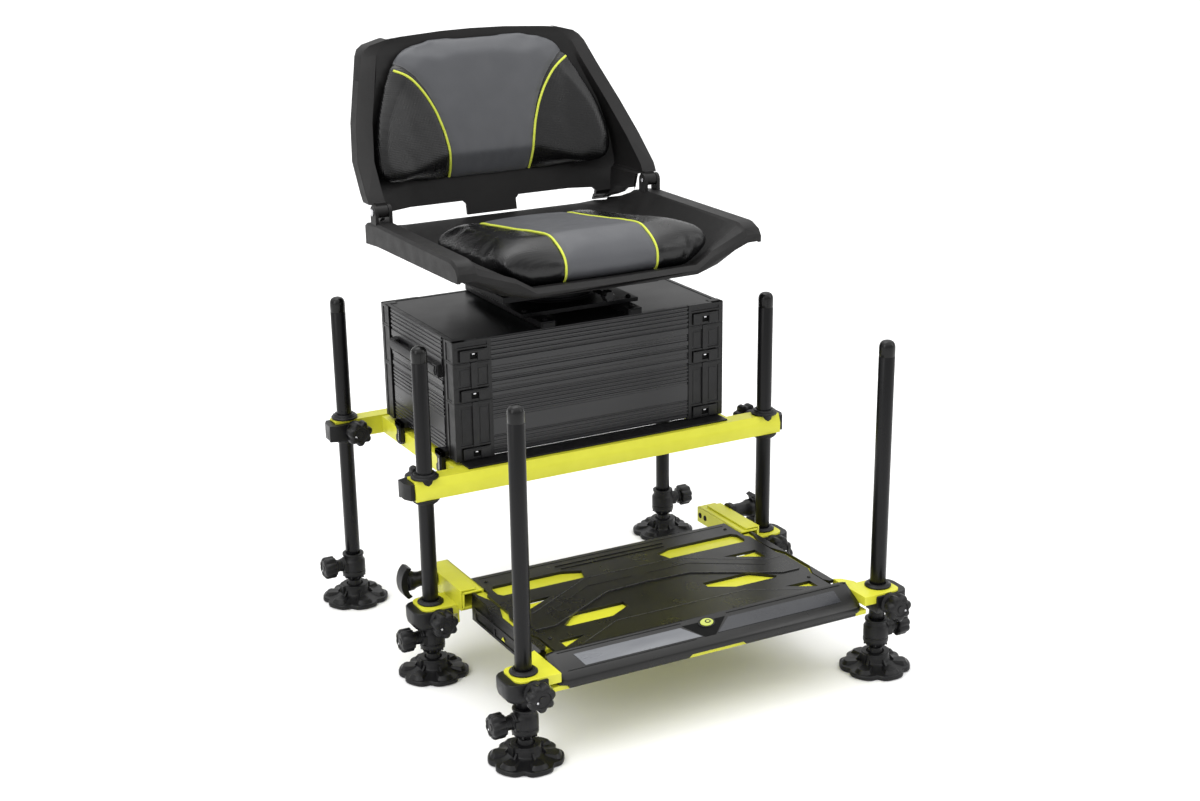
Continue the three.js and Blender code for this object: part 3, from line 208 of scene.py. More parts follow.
def level_liquid():
    made, tree, bsdf, place = shader("level_liquid", 0.08, coat=1.0, coat_roughness=0.03)
    shade = noise_of(tree, place, 90, 2)
    tree.links.new(blend_colours(tree, shade, (0.30, 0.36, 0.015), (0.44, 0.50, 0.03)), bsdf.inputs["Base Color"])
    return made


def vinyl_surface(name, lateral, vertical):
    """Grey vinyl in the middle, black patterned vinyl outside the seam. The numbers are the panel's two axes."""
    made, tree, bsdf, place = shader(name, 0.4, specular=0.4)
    seam = node(tree, "ShaderNodeAttribute", {"attribute_name": "seam"}).outputs["Fac"]
    outside = calc(tree, "GREATER_THAN", seam, 0.0)
    patches = noise_of(tree, place, 22, 4)
    grey = blend_colours(tree, spread(tree, patches, 0, 1), (0.058, 0.060, 0.066), (0.066, 0.068, 0.074))
    black = blend_colours(tree, spread(tree, patches, 0, 1), (0.0022, 0.0022, 0.0024), (0.0028, 0.0028, 0.0030))
    axes = node(tree, "ShaderNodeSeparateXYZ", Vector=place).outputs
    waves = []
    for lean in (1.0, -1.0):
        across = calc(tree, "MULTIPLY_ADD", axes[vertical], lean, axes[lateral])
        waves.append(calc(tree, "SINE", calc(tree, "MULTIPLY", across, 1150.0)))
    checks = calc(tree, "MULTIPLY", *waves)
    black = blend_colours(tree, spread(tree, checks, 0, 0.5, 0.2, 0.9), black, (0.007, 0.007, 0.0075))
    tree.links.new(blend_colours(tree, outside, grey, black), bsdf.inputs["Base Color"])
    uneven = noise_of(tree, place, 40, 3)
    matt, shiny = spread(tree, uneven, 0.44, 0.52), spread(tree, uneven, 0.24, 0.28)
    rough = node(tree, "ShaderNodeMix", {"data_type": "FLOAT"}, Factor=outside, _2=matt, _3=shiny)
    tree.links.new(rough.outputs[0], bsdf.inputs["Roughness"])
    grain = node(tree, "ShaderNodeTexVoronoi", Vector=place, Scale=950.0).outputs["Distance"]
    bumps(tree, bsdf, (grain, 0.0002, 0.15), (calc(tree, "MULTIPLY", checks, outside), 0.0003, 0.4))
    return made


# Shapes


TURNS = {
    "z": Matrix.Identity(3),
    "x": Matrix(((0, 0, 1), (1, 0, 0), (0, 1, 0))),
    "y": Matrix(((0, 1, 0), (0, 0, 1), (1, 0, 0))),
}


class Form:
    """Closed shapes gathered into one piece, in millimetres and in the source's own frame."""

    def __init__(self):
        self.points, self.faces, self.slots = [], [], []

    def add(self, points, faces, slot=0):
        first = len(self.points)
        self.points += [Vector(point) for point in points]
        self.faces += [[first + index for index in face] for face in faces]
        self.slots += [slot] * len(faces)
        return self

    def loft(self, rings, slot=0):
        """Rings of points, joined in turn and closed at both ends."""
        count, points = len(rings[0]), [point for ring in rings for point in ring]
        faces = [list(range(count))[::-1], list(range(len(points) - count, len(points)))]
        for base in range(0, len(points) - count, count):
            faces += [[base + k, base + (k + 1) % count, base + (k + 1) % count + count, base + k + count]
                      for k in range(count)]
        return self.add(points, faces, slot)

    def prism(self, outline, low, high, slot=0, axis="z"):
        """An outline of (x, y), or (y, z) along X, or (x, z) along Y, drawn out between two places."""
        place = {
            "z": lambda u, v, w: (u, v, w),
            "x": lambda u, v, w: (w, u, v),
            "y": lambda u, v, w: (u, w, v),
        }[axis]
        return self.loft([[place(u, v, w) for u, v in outline] for w in (low, high)], slot)

    def block(self, x0, x1, y0, y1, z0, z1, slot=0):
        """A box between those places, whichever of the two along X or Y comes first."""
        return self.prism(rectangle(*sorted((x0, x1)), *sorted((y0, y1))), z0, z1, slot)

    def lathe(self, profile, sides=32, slot=0, axis="z", at=(0, 0, 0), wave=None):
        """A turned profile of (radius, height) about an axis. A third number in a row lets the wave shape it."""
        points, rings = [], []
        for radius, height, *weight in profile:
            if radius == 0:
                rings.append([len(points)])
                points.append(Vector((0, 0, height)))
                continue
            rings.append(list(range(len(points), len(points) + sides)))
            for step in range(sides):
                angle = 2 * math.pi * step / sides
                reach = radius - (wave(angle) * weight[0] if weight else 0)
                points.append(Vector((reach * math.cos(angle), reach * math.sin(angle), height)))
        faces = []
        for low, high in zip(rings, rings[1:]):
            for step in range(sides):
                after = (step + 1) % sides
                if len(low) > 1 and len(high) > 1:
                    faces.append([low[step], low[after], high[after], high[step]])
                elif len(high) > 1:
                    faces.append([low[0], high[after], high[step]])
                elif len(low) > 1:
                    faces.append([low[step], low[after], high[0]])
        return self.add([TURNS[axis] @ point + Vector(at) for point in points], faces, slot)

    def rod(self, radius, low, high, sides, slot=0, axis="x", at=(0, 0, 0)):
        return self.lathe([(0, low), (radius, low), (radius, high), (0, high)], sides, slot, axis, at)

    def tube(self, path, radius, sides):
        """A round cord along a path of points."""
        normal, rings = None, []
        for index, point in enumerate(path):
            ahead = (path[min(index + 1, len(path) - 1)] - path[max(index - 1, 0)]).normalized()
            if normal is None:
                normal = ahead.orthogonal().normalized()
            normal = (normal - ahead * normal.dot(ahead)).normalized()
            side = ahead.cross(normal)
            angles = [2 * math.pi * step / sides for step in range(sides)]
            rings.append([point + (normal * math.cos(a) + side * math.sin(a)) * radius for a in angles])
        return self.loft(rings)

    def bolt(self, at, axis, radius, height, slot=0):
        """A screw head: a low dome with a hexagon socket."""
        return self.lathe([
            (0, -1.5), (radius, -1.5), (radius, height * 0.55), (radius * 0.72, height), (radius * 0.45, height),
            (radius * 0.42, height * 0.4), (0, height * 0.4),
        ], 12, slot, axis, at)

    def moved(self, x=0, y=0, z=0, side=1, facing=1):
        """The same shapes mirrored in X and Y as asked, then shifted."""
        made = Form()
        made.points = [Vector((p.x * side + x, p.y * facing + y, p.z + z)) for p in self.points]
        made.faces, made.slots = [list(face) for face in self.faces], list(self.slots)
        return made

    def plus(self, other):
        first = len(self.points)
        self.points += other.points
        self.faces += [[first + index for index in face] for face in other.faces]
        self.slots += other.slots
        return self

    def make(self, name, body, materials, width=0.5, angle=38, replaces=(), slot="black_plastic"):
        """The shapes as one piece that rides on a body, with its edges rounded to that width."""
        mesh = bpy.data.meshes.new(name)
        build = bmesh.new()
        points = [build.verts.new((p.x * MM, p.y * MM + SHIFT, p.z * MM)) for p in self.points]
        for face, place in zip(self.faces, self.slots):
            made = build.faces.new([points[index] for index in face])
            made.material_index = place
            made.smooth = True
        bmesh.ops.recalc_face_normals(build, faces=build.faces)
        build.to_mesh(mesh)
        build.free()
        for finish in materials:
            mesh.materials.append(finish)
        piece = bpy.data.objects.new(name, mesh)
        scene.collection.objects.link(piece)
        round_edges(piece, width, angle)
        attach(piece, body)
        if replaces:
            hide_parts(*replaces)
        return piece


def round_edges(piece, width, angle):
    if not width:
        piece.data.set_sharp_from_angle(angle=math.radians(angle))
        return
    bevel = piece.modifiers.new("bevel", "BEVEL")
    bevel.width = width * MM
    bevel.segments = 2
    bevel.limit_method = "ANGLE"
    bevel.angle_limit = math.radians(angle)
    bevel.harden_normals = True


def forget_shading(mesh):
    for spare in ("custom_normal", "sharp_edge", "sharp_face"):
        if spare in mesh.attributes:
            mesh.attributes.remove(mesh.attributes[spare])


def dress(name, finish, width=0.6, angle=38):
    """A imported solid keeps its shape, and gets its material and slightly rounded edges."""
    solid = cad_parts[name]
    solid.data.materials.clear()
    solid.data.materials.append(finish)
    solid.data.polygons.foreach_set("use_smooth", [True] * len(solid.data.polygons))
    forget_shading(solid.data)
    weld = solid.modifiers.new("weld", "WELD")
    weld.merge_threshold = 2e-5
    flatten = solid.modifiers.new("flatten", "DECIMATE")
    flatten.decimate_type = "DISSOLVE"
    flatten.angle_limit = math.radians(0.8)
    round_edges(solid, width, angle)


def rectangle(u0, u1, v0, v1):
    return [(u0, v0), (u1, v0), (u1, v1), (u0, v1)]


def between(table, value):
    """A value read from a table of rising places, with straight lines between its rows."""
    if value <= table[0][0]:
        return table[0][1]
    for (low, first), (high, second) in zip(table, table[1:]):
        if value <= high:
            return first + (second - first) * (value - low) / (high - low)
    return table[-1][1]


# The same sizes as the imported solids, in millimetres

CORNERS = [("rear_left", -1, 1), ("rear_right", 1, 1), ("front_left", -1, -1), ("front_right", 1, -1)]
FLANKS = [("left", -1), ("right", 1)]
LEG_X = 310
FRAME_Y = 170
FRONT_Y = -503
LEG_PLACES = [(name, side, facing * FRAME_Y) for name, side, facing in CORNERS]
LEG_PLACES += [(f"footplate_{name}", side, FRONT_Y) for name, side in FLANKS]
RAIL_FOOT = 300
FOOT_KNOB_Z = 67
KNOB_CENTRE = (0, 0, FOOT_KNOB_Z)


def star_wave(lobes, depth, sharp=2.0):
    """How far an outline draws in between its lobes."""
    return lambda angle: depth * (0.5 + 0.5 * math.cos(lobes * angle)) ** sharp


# Legs, feet and their knobs


def leg_form():
    tube = [(11, 52), (12, 52), (12.5, 53), (12.5, 516.4), (12.3, 516.8), (12.3, 517.4), (11, 517.4), (11, 52)]
    cap = [(0, 517.5), (12.3, 517.5), (12.5, 517.9), (12.5, 530.5), (12.1, 534), (11, 537), (9, 539.6), (6, 541.2),
           (3, 541.9), (0, 542)]
    return Form().lathe(tube, 40).lathe(cap, 40, 1)


def knuckle_form():
    form = Form().lathe([
        (0, 12.2), (5.5, 13), (9.5, 16), (12.2, 20.5), (13, 25), (12.4, 29), (11, 33), (10.5, 37), (11.8, 39),
        (14.5, 41), (17, 43), (19, 46.5), (20, 49), (20, 54.5), (19, 55), (19, 56.5), (20, 57), (20, 73),
        (18.8, 75), (17, 77.5), (17, 82.5), (18.4, 83.4), (18.4, 86.4), (17.6, 87), (12.9, 87), (12.9, 60), (0, 60),
    ], 40)
    form.lathe([
        (0, 8), (13.5, 8), (13.5, 18), (12, 19.5), (12, 21), (11, 22), (11, 25), (0, 25),
    ], 24, axis="x", at=KNOB_CENTRE)
    form.block(-6, 21.5, -14.5, 14.5, 58, 72)
    for step in range(10):
        angle = math.radians(36 * step + 18)
        form.lathe([(0, 43), (1.5, 43), (1.1, 52), (0, 52)], 6,
                   at=(18.2 * math.cos(angle), 18.2 * math.sin(angle), 0))
    return form


def foot_knob_form():
    return Form().lathe([
        (0, 25.3), (10.5, 25.3), (10.5, 30), (11.6, 31), (11.6, 33.5), (15, 34, 0.5), (18.2, 35.2, 1),
        (19, 37, 1), (19, 51.5, 1), (17.4, 54.4, 1), (15.5, 55.6, 0.8), (12.4, 55.9), (11.6, 54.6), (5.4, 54.6),
        (5, 55.6), (0, 55.6),
    ], 64, axis="x", at=KNOB_CENTRE, wave=star_wave(8, 2.6)).bolt((54.6, 6.5, FOOT_KNOB_Z - 6), "x", 1.8, 1.2, 1)


def mud_foot_form():
    lobes = 6
    form = Form().lathe([
        (0, 0), (53, 0, 0.9), (55.4, 1.2, 1), (56, 3, 1), (56, 6.4, 1), (54.6, 8.2, 1), (50, 8.8, 0.8), (44, 9.6, 0.4),
        (34, 11.4, 0.2), (30, 13), (25, 14.5), (23.5, 16.5), (23.4, 20), (22.4, 21.4), (22.4, 29), (21.6, 30),
        (14.4, 30), (13.6, 28.8), (13.6, 14), (0, 12.5),
    ], 96, wave=star_wave(lobes, 7, 5.0))
    cleat = [(27, -11), (47, -15), (52.5, -11), (54, 0), (52.5, 11), (47, 15), (27, 11)]
    cleat_top = [(28, -7.5), (44, -10), (48, -6.5), (48.5, 0), (48, 6.5), (44, 10), (28, 7.5)]
    rib, rib_top = ([(20, -2.2), (reach, -1.6), (reach, 1.6), (20, 2.2)] for reach in (36, 24.5))
    for step in range(lobes):
        turned = Matrix.Rotation(2 * math.pi * (step + 0.5) / lobes, 3, "Z")
        for levels in (((cleat, 7), (cleat_top, 14.5)), ((rib, 8), (rib_top, 22))):
            form.loft([[turned @ Vector((u, v, height)) for u, v in ring] for ring, height in levels])
    for side in (-1, 1):
        form.block(side * 21.5 - 3.5, side * 21.5 + 3.5, -8, 8, 14, 29)
    return form


for place, side, y in LEG_PLACES:
    leg_form().moved(side * LEG_X, y).make(
        f"tube_{place}", f"leg_body_{place}", [tube_black, cap_black], 0, replaces=[f"leg_{place}"], slot="black_tube")
    knuckle_form().moved(side * LEG_X, y, side=side).make(
        f"knuckle_{place}", f"leg_body_{place}", [plastic], 0.6, replaces=[f"foot_knuckle_{place}"])
    foot_knob_form().moved(side * LEG_X, y, side=side).make(
        f"grip_{place}", f"knob_foot_{place}", [plastic, bright], 0, 30, [f"foot_knob_{place}"])
    mud_foot_form().moved(side * LEG_X, y, side=side).make(
        f"pad_{place}", f"pad_{place}", [plastic], 0.7, replaces=[f"mud_foot_{place}"])


# Star knobs


def star_form():
    """A knob that points along +Y from its hub at the origin."""
    return Form().lathe([
        (0, 0), (12.5, 0), (13, 0.6), (13, 4.5), (12, 5.4), (17, 6, 0.6), (21, 7.4, 1), (22, 9.4, 1), (22, 19, 1),
        (20.4, 22.6, 1), (18.4, 24.4, 0.9), (16, 25, 0.6), (12.6, 25), (11.6, 23.4), (6.2, 23.4), (5.6, 24.6),
        (0, 24.6),
    ], 84, axis="y", wave=star_wave(7, 4.2, 1.6)).bolt((8.6, 23.4, -3.4), "y", 1.9, 1.2, 1)


def star(kind, place, x, y, z, side, facing):
    star_form().moved(x, y, z, side, facing).make(
        f"star_{kind}_{place}", f"knob_{kind}_{place}", [plastic, bright], 0, 30, [f"{kind}_knob_{place}"])


for name, side, facing in CORNERS:
    star("clamp", name, side * 302, facing * (FRAME_Y - 30.6), RAIL_FOOT + 16, side, -facing)
for flank, side in FLANKS:
    star("bracket", flank, side * LEG_X, -FRAME_Y - 38.3, 105, side, -1)
    star("footplate", flank, side * LEG_X, FRONT_Y - 38.3, 124, side, -1)


def wing_form():
    """The slide's knob on the right side, a stem, a waisted hub and a crescent grip, along +X."""
    slide_y, slide_z = -112, 140
    form = Form().rod(4.9, 274.4, 279, 16, at=(0, slide_y, slide_z))
    form.lathe([
        (0, 277.3), (16, 277.3), (16.5, 278), (16.5, 284), (14.6, 286), (12.6, 290), (12.2, 306), (13.4, 312),
        (15.6, 316), (16, 320), (16, 325), (0, 325),
    ], 36, axis="x", at=(0, slide_y, slide_z))
    outline = []
    for step in range(13):
        angle = math.radians(-64 + 128 * step / 12)
        outline.append((30 * math.sin(angle), 318 + 21 * math.cos(angle)))
    outline += [(24, 320), (18, 325), (9, 328), (-9, 328), (-18, 325), (-24, 320)]
    return form.loft([[(reach, slide_y + across, slide_z + along) for along, reach in outline] for across in (-11, 11)])


for flank, side in FLANKS:
    wing_form().moved(side=side).make(
        f"wing_{flank}", f"knob_wing_{flank}", [plastic], 1.2, replaces=[f"wing_knob_{flank}"])


# Frame: rails, clamps and strip keep their solids

for name in ("front_rail", "rear_rail", "side_rail_left", "side_rail_right"):
    dress(name, lime, 0.9)
for name, side, facing in CORNERS:
    dress(f"rail_clamp_{name}", plastic, 0.9)
dress("front_support_strip", plastic, 0.5)


def rail_collar_form():
    """Flanged collars above and below a rail."""
    form = Form()
    for foot, top, step in ((332.4, 340.4, 1), (299.6, 291.6, -1)):
        form.lathe([
            (13.2, foot), (21.5, foot), (22, foot + step * 0.8), (22, foot + step * 3), (20, foot + step * 4.2),
            (17.5, foot + step * 6), (16.6, top), (13.2, top), (13.2, foot),
        ], 36)
    return form


for name, side, facing in CORNERS:
    rail_collar_form().moved(side * LEG_X, facing * FRAME_Y).make(f"collar_{name}", "frame", [plastic], 0, 30)


# Box levels

WALL = 2.5


def band_profile(low, high, bands):
    """A wall's section as (outward, height): a flat inside and proud bands outside."""
    outline = [(0, low), (0, high), (WALL, high)]
    span = high - low
    for start, stop, proud in reversed(bands):
        top, foot = low + span * stop, low + span * start
        slope = min(0.8, (top - foot) / 4)
        outline += [(WALL, top), (WALL + proud, top - slope), (WALL + proud, foot + slope), (WALL, foot)]
    return outline + [(WALL, low)]


BOX_X, BOX_Y = 244, 144
IN_X, IN_Y = 238.8, 138.8
LOWER_BANDS = [(0.01, 0.05, 1.4), (0.075, 0.12, 1.5), (0.14, 0.185, 1.5), (0.205, 0.25, 1.4), (0.285, 0.318, 1.6),
               (0.335, 0.644, 0.9), (0.675, 0.72, 1.4), (0.742, 0.787, 1.5), (0.81, 0.855, 1.5), (0.876, 0.921, 1.5),
               (0.94, 0.98, 1.4)]
UPPER_BANDS = [(0.036, 0.161, 1.6), (0.19, 0.235, 0.7), (0.317, 0.427, 1.6), (0.447, 0.472, 0.9),
               (0.505, 0.645, 1.6), (0.69, 0.74, 0.7), (0.80, 0.985, 1.6)]
LID_BANDS = [(0.05, 0.2, 1.5), (0.25, 0.42, 1.6), (0.47, 0.61, 1.3), (0.66, 0.79, 1.6), (0.85, 0.97, 1.2)]


def walls_form(low, high, bands, floor, roof):
    """Four ribbed walls, their inner ring, and a floor or a roof. The inner ring, floor and roof are near-black painted
    shade, and the ring shows in the gaps at the side walls' ends.
    """
    form = Form()
    profile = band_profile(low, high, bands)
    for facing in (-1, 1):
        form.prism([(facing * (IN_Y + out), z) for out, z in profile], -BOX_X + 64, BOX_X - 64, 0, "x")
    for side in (-1, 1):
        form.prism([(side * (IN_X + out), z) for out, z in profile], -BOX_Y + 46, BOX_Y - 39, 1, "y")
    for facing in (-1, 1):
        # The inner ring, floor and roof take the third finish: painted shade, seen through the gaps beside the castings
        form.block(-IN_X - 2, IN_X + 2, facing * IN_Y, facing * (IN_Y + 2), low, high, 2)
        form.block(facing * IN_X, facing * (IN_X + 2), -IN_Y - 2, IN_Y + 2, low, high, 2)
    if floor:
        form.block(-IN_X - 1, IN_X + 1, -IN_Y - 1, IN_Y + 1, floor, floor + 3, 2)
    if roof:
        form.block(-IN_X - 2, IN_X + 2, -IN_Y - 2, IN_Y + 2, roof - 3, roof - 1, 2)
    return form


def corners_form(low, high, lid_level):
    """A level's castings: frames, strap slot and latch block, made for the front right and mirrored to each corner."""
    form = Form()
    x0, x1, y0, y1 = BOX_X - 66, BOX_X, BOX_Y - 32, BOX_Y

    def proud(left, right, out, foot, top, slot=0):
        form.block(left, right, y1 - 4, y1 + out, foot, top, slot)

    form.block(x0, x1 - 1.4, y0, y1 - 1.6, low, high)
    proud(x0, x0 + 7, -0.2, low, high)
    proud(x1 - 9, x1 - 0.4, -0.2, low, high)
    proud(x0 + 3, x1 - 2, -0.4, high - 5, high)
    proud(x0 + 3, x1 - 2, -0.4, low, low + 3)
    form.block(x1 - 4, x1, y0, y0 + 6, low, high)
    form.block(x1 - 4, x1 - 0.2, y1 - 9, y1 - 1.4, low, high)
    form.block(x1 - 4, x1 - 0.3, y0 + 3, y1 - 3, high - 4, high)
    form.block(x1 - 4, x1 - 0.3, y0 + 3, y1 - 3, low, low + 3)
    middle = (x0 + x1) / 2 - 2
    latch_low = low + 2.5
    latch_high = latch_low + 18
    proud(middle - 23.5, middle - 6.5, 3, latch_low, latch_high)
    proud(middle + 6.5, middle + 23.5, 3, latch_low, latch_high)
    proud(middle - 23.5, middle + 23.5, 2.6, latch_high - 5.5, latch_high)
    proud(middle - 23.5, middle + 23.5, 1.4, latch_low, latch_low + 3)
    # The keyhole: a recessed near-black square, painted shade in the hole
    proud(middle - 6, middle + 6, -1, latch_low + 3, latch_high - 6, 1)
    form.block(middle - 2.4, middle + 2.4, y1 - 2, y1 + 1.2, latch_high - 8.6, latch_high - 6, 2)
    form.prism([
        (middle - 21, latch_high - 2.4), (middle + 21, latch_high - 2.4), (middle + 19, latch_high - 1.2),
        (middle - 19, latch_high - 1.2),
    ], y1 - 4, y1 + 3.4, 0, "y")
    proud(x0 + 4, x1 - 3, 0.3, latch_high + 1.6, latch_high + 4.6)
    if not lid_level:
        proud(middle - 5, middle + 5, 1.4, latch_high + 1.6, high + 0.1)
        proud(x0 + 4, x1 - 3, 0.2, high - 7, high - 2)
        proud(x0 + 9, middle - 8, -0.9, latch_high + 8, high - 10.5)
        proud(middle + 8, x1 - 12, -0.9, latch_high + 8, high - 10.5)
    whole = Form()
    for side in (-1, 1):
        for facing in (-1, 1):
            whole.plus(form.moved(side=side, facing=facing))
    return whole


LOWER_LOW, UPPER_LOW, LID_LOW, LID_HIGH = 335.4, 430.7, 495.0, 530.5
# Each level: its name and body, the feet of its castings and walls, their top, its bands, its floor and its roof
LEVELS = [
    ("lower_tray", "frame", LOWER_LOW, LOWER_LOW + 2.5, 430.4, LOWER_BANDS, LOWER_LOW + 2.5, None),
    ("upper_tray", "tray_upper", UPPER_LOW, UPPER_LOW, 494.7, UPPER_BANDS, UPPER_LOW, None),
    ("lid", "lid_body", LID_LOW, LID_LOW, LID_HIGH - 1, LID_BANDS, None, LID_HIGH),
]
for name, body, casting_low, wall_low, high, bands, base, roof in LEVELS:
    walls_form(wall_low, high, bands, base, roof).make(
        f"{name}_walls", body, [anodised, anodised_side, painted_shade_recess], 0.3, replaces=[name], slot="box_black")
    corners_form(casting_low, high, name == "lid").make(
        f"{name}_corners", body, [casting, painted_shade_recess, bright], 0.6)


def lid_top_form():
    """The lid's top: a thin raised frame, corner plates and the satin sheet inside them."""
    form = Form()
    low, high = LID_HIGH - 1.4, LID_HIGH
    for facing in (-1, 1):
        form.block(-BOX_X + 8, BOX_X - 8, facing * (BOX_Y - 9), facing * (BOX_Y - 2), low, high - 0.3)
        form.block(facing * (BOX_X - 9), facing * (BOX_X - 2), -BOX_Y + 8, BOX_Y - 8, low, high - 0.3)
        for side in (-1, 1):
            for in_x, in_y in ((22, 20), (66, 7)):
                form.block(side * (BOX_X - in_x), side * (BOX_X - 0.5), facing * (BOX_Y - in_y),
                           facing * (BOX_Y - 0.5), low, high)
    return form.block(-BOX_X + 10.5, BOX_X - 10.5, -BOX_Y + 10.5, BOX_Y - 10.5, low, high - 0.8, 1)


lid_top_form().make("lid_top", "lid_body", [casting, lid_sheet], 0.35, slot="box_black")


def clip_form(y):
    """A hook that holds the lower tray to a side rail, on the right side."""
    form = Form().prism([
        (y - 12, 347.4), (y + 12, 347.4), (y + 12, 338), (y + 4, 334), (y + 4, 326), (y + 9, 322), (y + 9, 314),
        (y + 2, 309.6), (y - 8, 309.6), (y - 12, 314),
    ], 250.4, 258.2, 0, "x")
    form.block(238, 258.2, y - 12, y + 12, 338.4, 347.4)
    form.prism([(y - 9, 341), (y + 8, 341), (y + 1, 335), (y + 1, 325), (y + 5, 320), (y + 5, 315), (y, 313),
                (y - 6, 313), (y - 9, 316)], 258, 259.6, 0, "x")
    return form.prism([(y - 6.4, 336), (y - 4.6, 336), (y - 4.6, 317), (y - 6.4, 317)], 259.4, 260, 1, "x")


for flank, side in FLANKS:
    clips = Form()
    for share in (0.43, -0.72):
        clips.plus(clip_form(share * BOX_Y).moved(side=side))
    for facing in (-1, 1):
        middle = facing * 0.6 * BOX_Y
        clips.block(side * 231, side * 245, middle - 15, middle + 15, 330.5, LOWER_LOW + 4.5)
    clips.make(f"rail_clips_{flank}", "frame", [plastic, bright], 0.5)


def handle_form():
    """A carrying handle on a side of the upper tray: two lugs and a flat bar, on the right side."""
    form = Form()
    for y in (-88, 82):
        form.block(241, 250, y - 9, y + 9, 463, 483)
        form.prism([(241, 485), (251, 483), (253, 474), (250, 464), (241, 467)], y - 8, y + 8, 0, "y")
    return form.prism([(249, 482), (253.5, 481), (254.5, 473), (252.5, 466), (249, 467)], -92, 88, 0, "y")


for flank, side in FLANKS:
    handle_form().moved(side=side).make(f"tray_handle_{flank}", "tray_upper", [casting], 0.8)


def hinge_leaf(form, middle, half, low, high):
    form.rod(4.5, middle - half, middle + half, 18, at=(0, 151, 494.85))
    form.block(middle - half, middle + half, 139.5, 151, low, high)


lid_leaves, tray_leaves = Form(), Form()
for x in (-110, 110):
    hinge_leaf(lid_leaves, x, 15, 495.4, 499.5)
    for side in (-1, 1):
        hinge_leaf(tray_leaves, x + side * 20.3, 5, 490.1, 494.4)
lid_leaves.make("lid_hinges", "lid_body", [casting], 0.4, slot="box_black")
tray_leaves.make("tray_hinges", "tray_upper", [casting], 0.4, slot="box_black")


# Swivel

dress("swivel_base", swivel_black, 0.8)
dress("swivel_top", swivel_black, 0.8)

swivel = Form()
for low, high in ((548.6, 554), (563, 568)):
    swivel.lathe([(70, low), (73.4, low), (74, low + 0.8), (74, high - 1), (73, high), (70, high), (70, low)], 64)
for side in (-1, 1):
    for facing in (-1, 1):
        swivel.bolt((side * 94, facing * 92, 547), "z", 4.5, 3)
        swivel.bolt((side * 78, facing * 132, 541), "z", 4, 2.6)
        swivel.prism(rectangle(side * 68, side * 88, 533, 539), *sorted((facing * 143.5, facing * 145.4)), 0, "y")
swivel.make("swivel_fittings", "lid_body", [swivel_black], 0.3)

LOCK_LENGTH = 60.4
lock = Form().rod(4, 0, 46, 16, 0, "y").lathe([
    (0, 44), (6, 44), (8, 46, 0.8), (10, 47, 1), (10, 57, 1), (8.6, 60, 1), (5, LOCK_LENGTH), (0, LOCK_LENGTH),
], 48, axis="y", wave=star_wave(6, 1.8))
lock_low, lock_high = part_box("swivel_lock_knob")
for point in lock.points:
    point.y *= (lock_high.y - lock_low.y) / MM / LOCK_LENGTH
lock.moved(46, (lock_high.y - SHIFT) / MM, 558.3, facing=-1).make(
    "lock_grip", "knob_swivel", [plastic], 0, 30, ["swivel_lock_knob"])


# Seat and back shells keep their solids

dress("seat_shell", shell_black, 1.6, 40)
dress("backrest_shell", shell_black, 1.4, 40)
for flank, side in FLANKS:
    dress(f"fold_pin_{flank}", bright, 0.5)


# Brackets: a lime block and channel, with a black housing and collar


def lime_block_form(inner):
    """The lime block round a leg at the origin, which reaches that far inward."""
    return Form().prism([
        (-inner, -30), (12, -30), (19, -27.5), (23, -22), (24, -18), (24, 14), (22, 20), (17, 24.6), (11, 26),
        (-inner, 26),
    ], 16, 31)


def housing_form():
    """The black housing, collar and knob boss round a leg on the right, its axis at the origin."""
    outline = [(-24, -33), (24, -33), (31, -30.5), (36, -24), (38, -18), (38, 8), (36, 16), (31, 21.5), (24, 24),
               (0, 24), (-24, 0)]
    form = Form().loft([[(u * scale, v * scale, z) for u, v in outline]
                        for scale, z in ((0.86, -3), (0.97, 3), (1, 9), (1, 26.4), (0.97, 28))])
    form.lathe([
        (13.1, 30.8), (20, 30.8), (21, 31.6), (21, 33.6), (19.6, 34.6), (17.4, 36), (17, 37), (13.1, 37), (13.1, 30.8),
    ], 36)
    before_boss = len(form.points)
    form.lathe([(0, 28), (16.5, 28), (17, 29), (17, 34.6), (15, 36.4), (13.4, 38), (0, 38)], 36, axis="y",
               at=(0, 0, 13))
    for point in form.points[before_boss:]:
        point.y *= -1
    return form


def channel_form():
    """The lime channel that a footplate beam slides in, on the right, and the web under it."""
    rear, front = -88, -212
    form = Form().prism([
        (250, 116), (277, 116), (277, 150), (250, 150), (250, 147), (253.5, 147), (253.5, 148), (274, 148),
        (274, 118), (253.5, 118), (253.5, 119), (250, 119),
    ], front, rear, 0, "y")
    form.prism([(-200, 92), (-138, 92), (-102, 117.5), (-198, 117.5)], 274, 277, 0, "x")
    # Four near-black discs at the channel's front end: painted shade standing in for openings
    for x, z in ((252.4, 121.6), (252.4, 144.4), (272, 121.6), (272, 144.4)):
        form.rod(2.2, front - 0.6, front + 2, 12, 1, "y", (x, 0, z))
    return form


for flank, side in FLANKS:
    lime_block_form(36).moved(LEG_X, -FRAME_Y, 92).plus(channel_form()).moved(side=side).make(
        f"bracket_metal_{flank}", "carrier", [lime, painted_shade_recess], 0.9, replaces=[f"bracket_{flank}"], slot="lime_coat")
    for place, body, y, z in (("bracket", "carrier", -FRAME_Y, 92), ("footplate", "footplate", FRONT_Y, 111)):
        housing_form().moved(side * LEG_X, y, z, side).make(f"{place}_housing_{flank}", body, [plastic], 0.8)


# Footplate: lime beams, bars and sill, black side covers

DECK_HALF, DECK_REAR, DECK_DEPTH, DECK_TOP = 232, -165, 315, 146


def deck_at(out, along):
    """A place on the deck, from its shares of the half width and of the depth."""
    return DECK_HALF * out, DECK_REAR - DECK_DEPTH * along


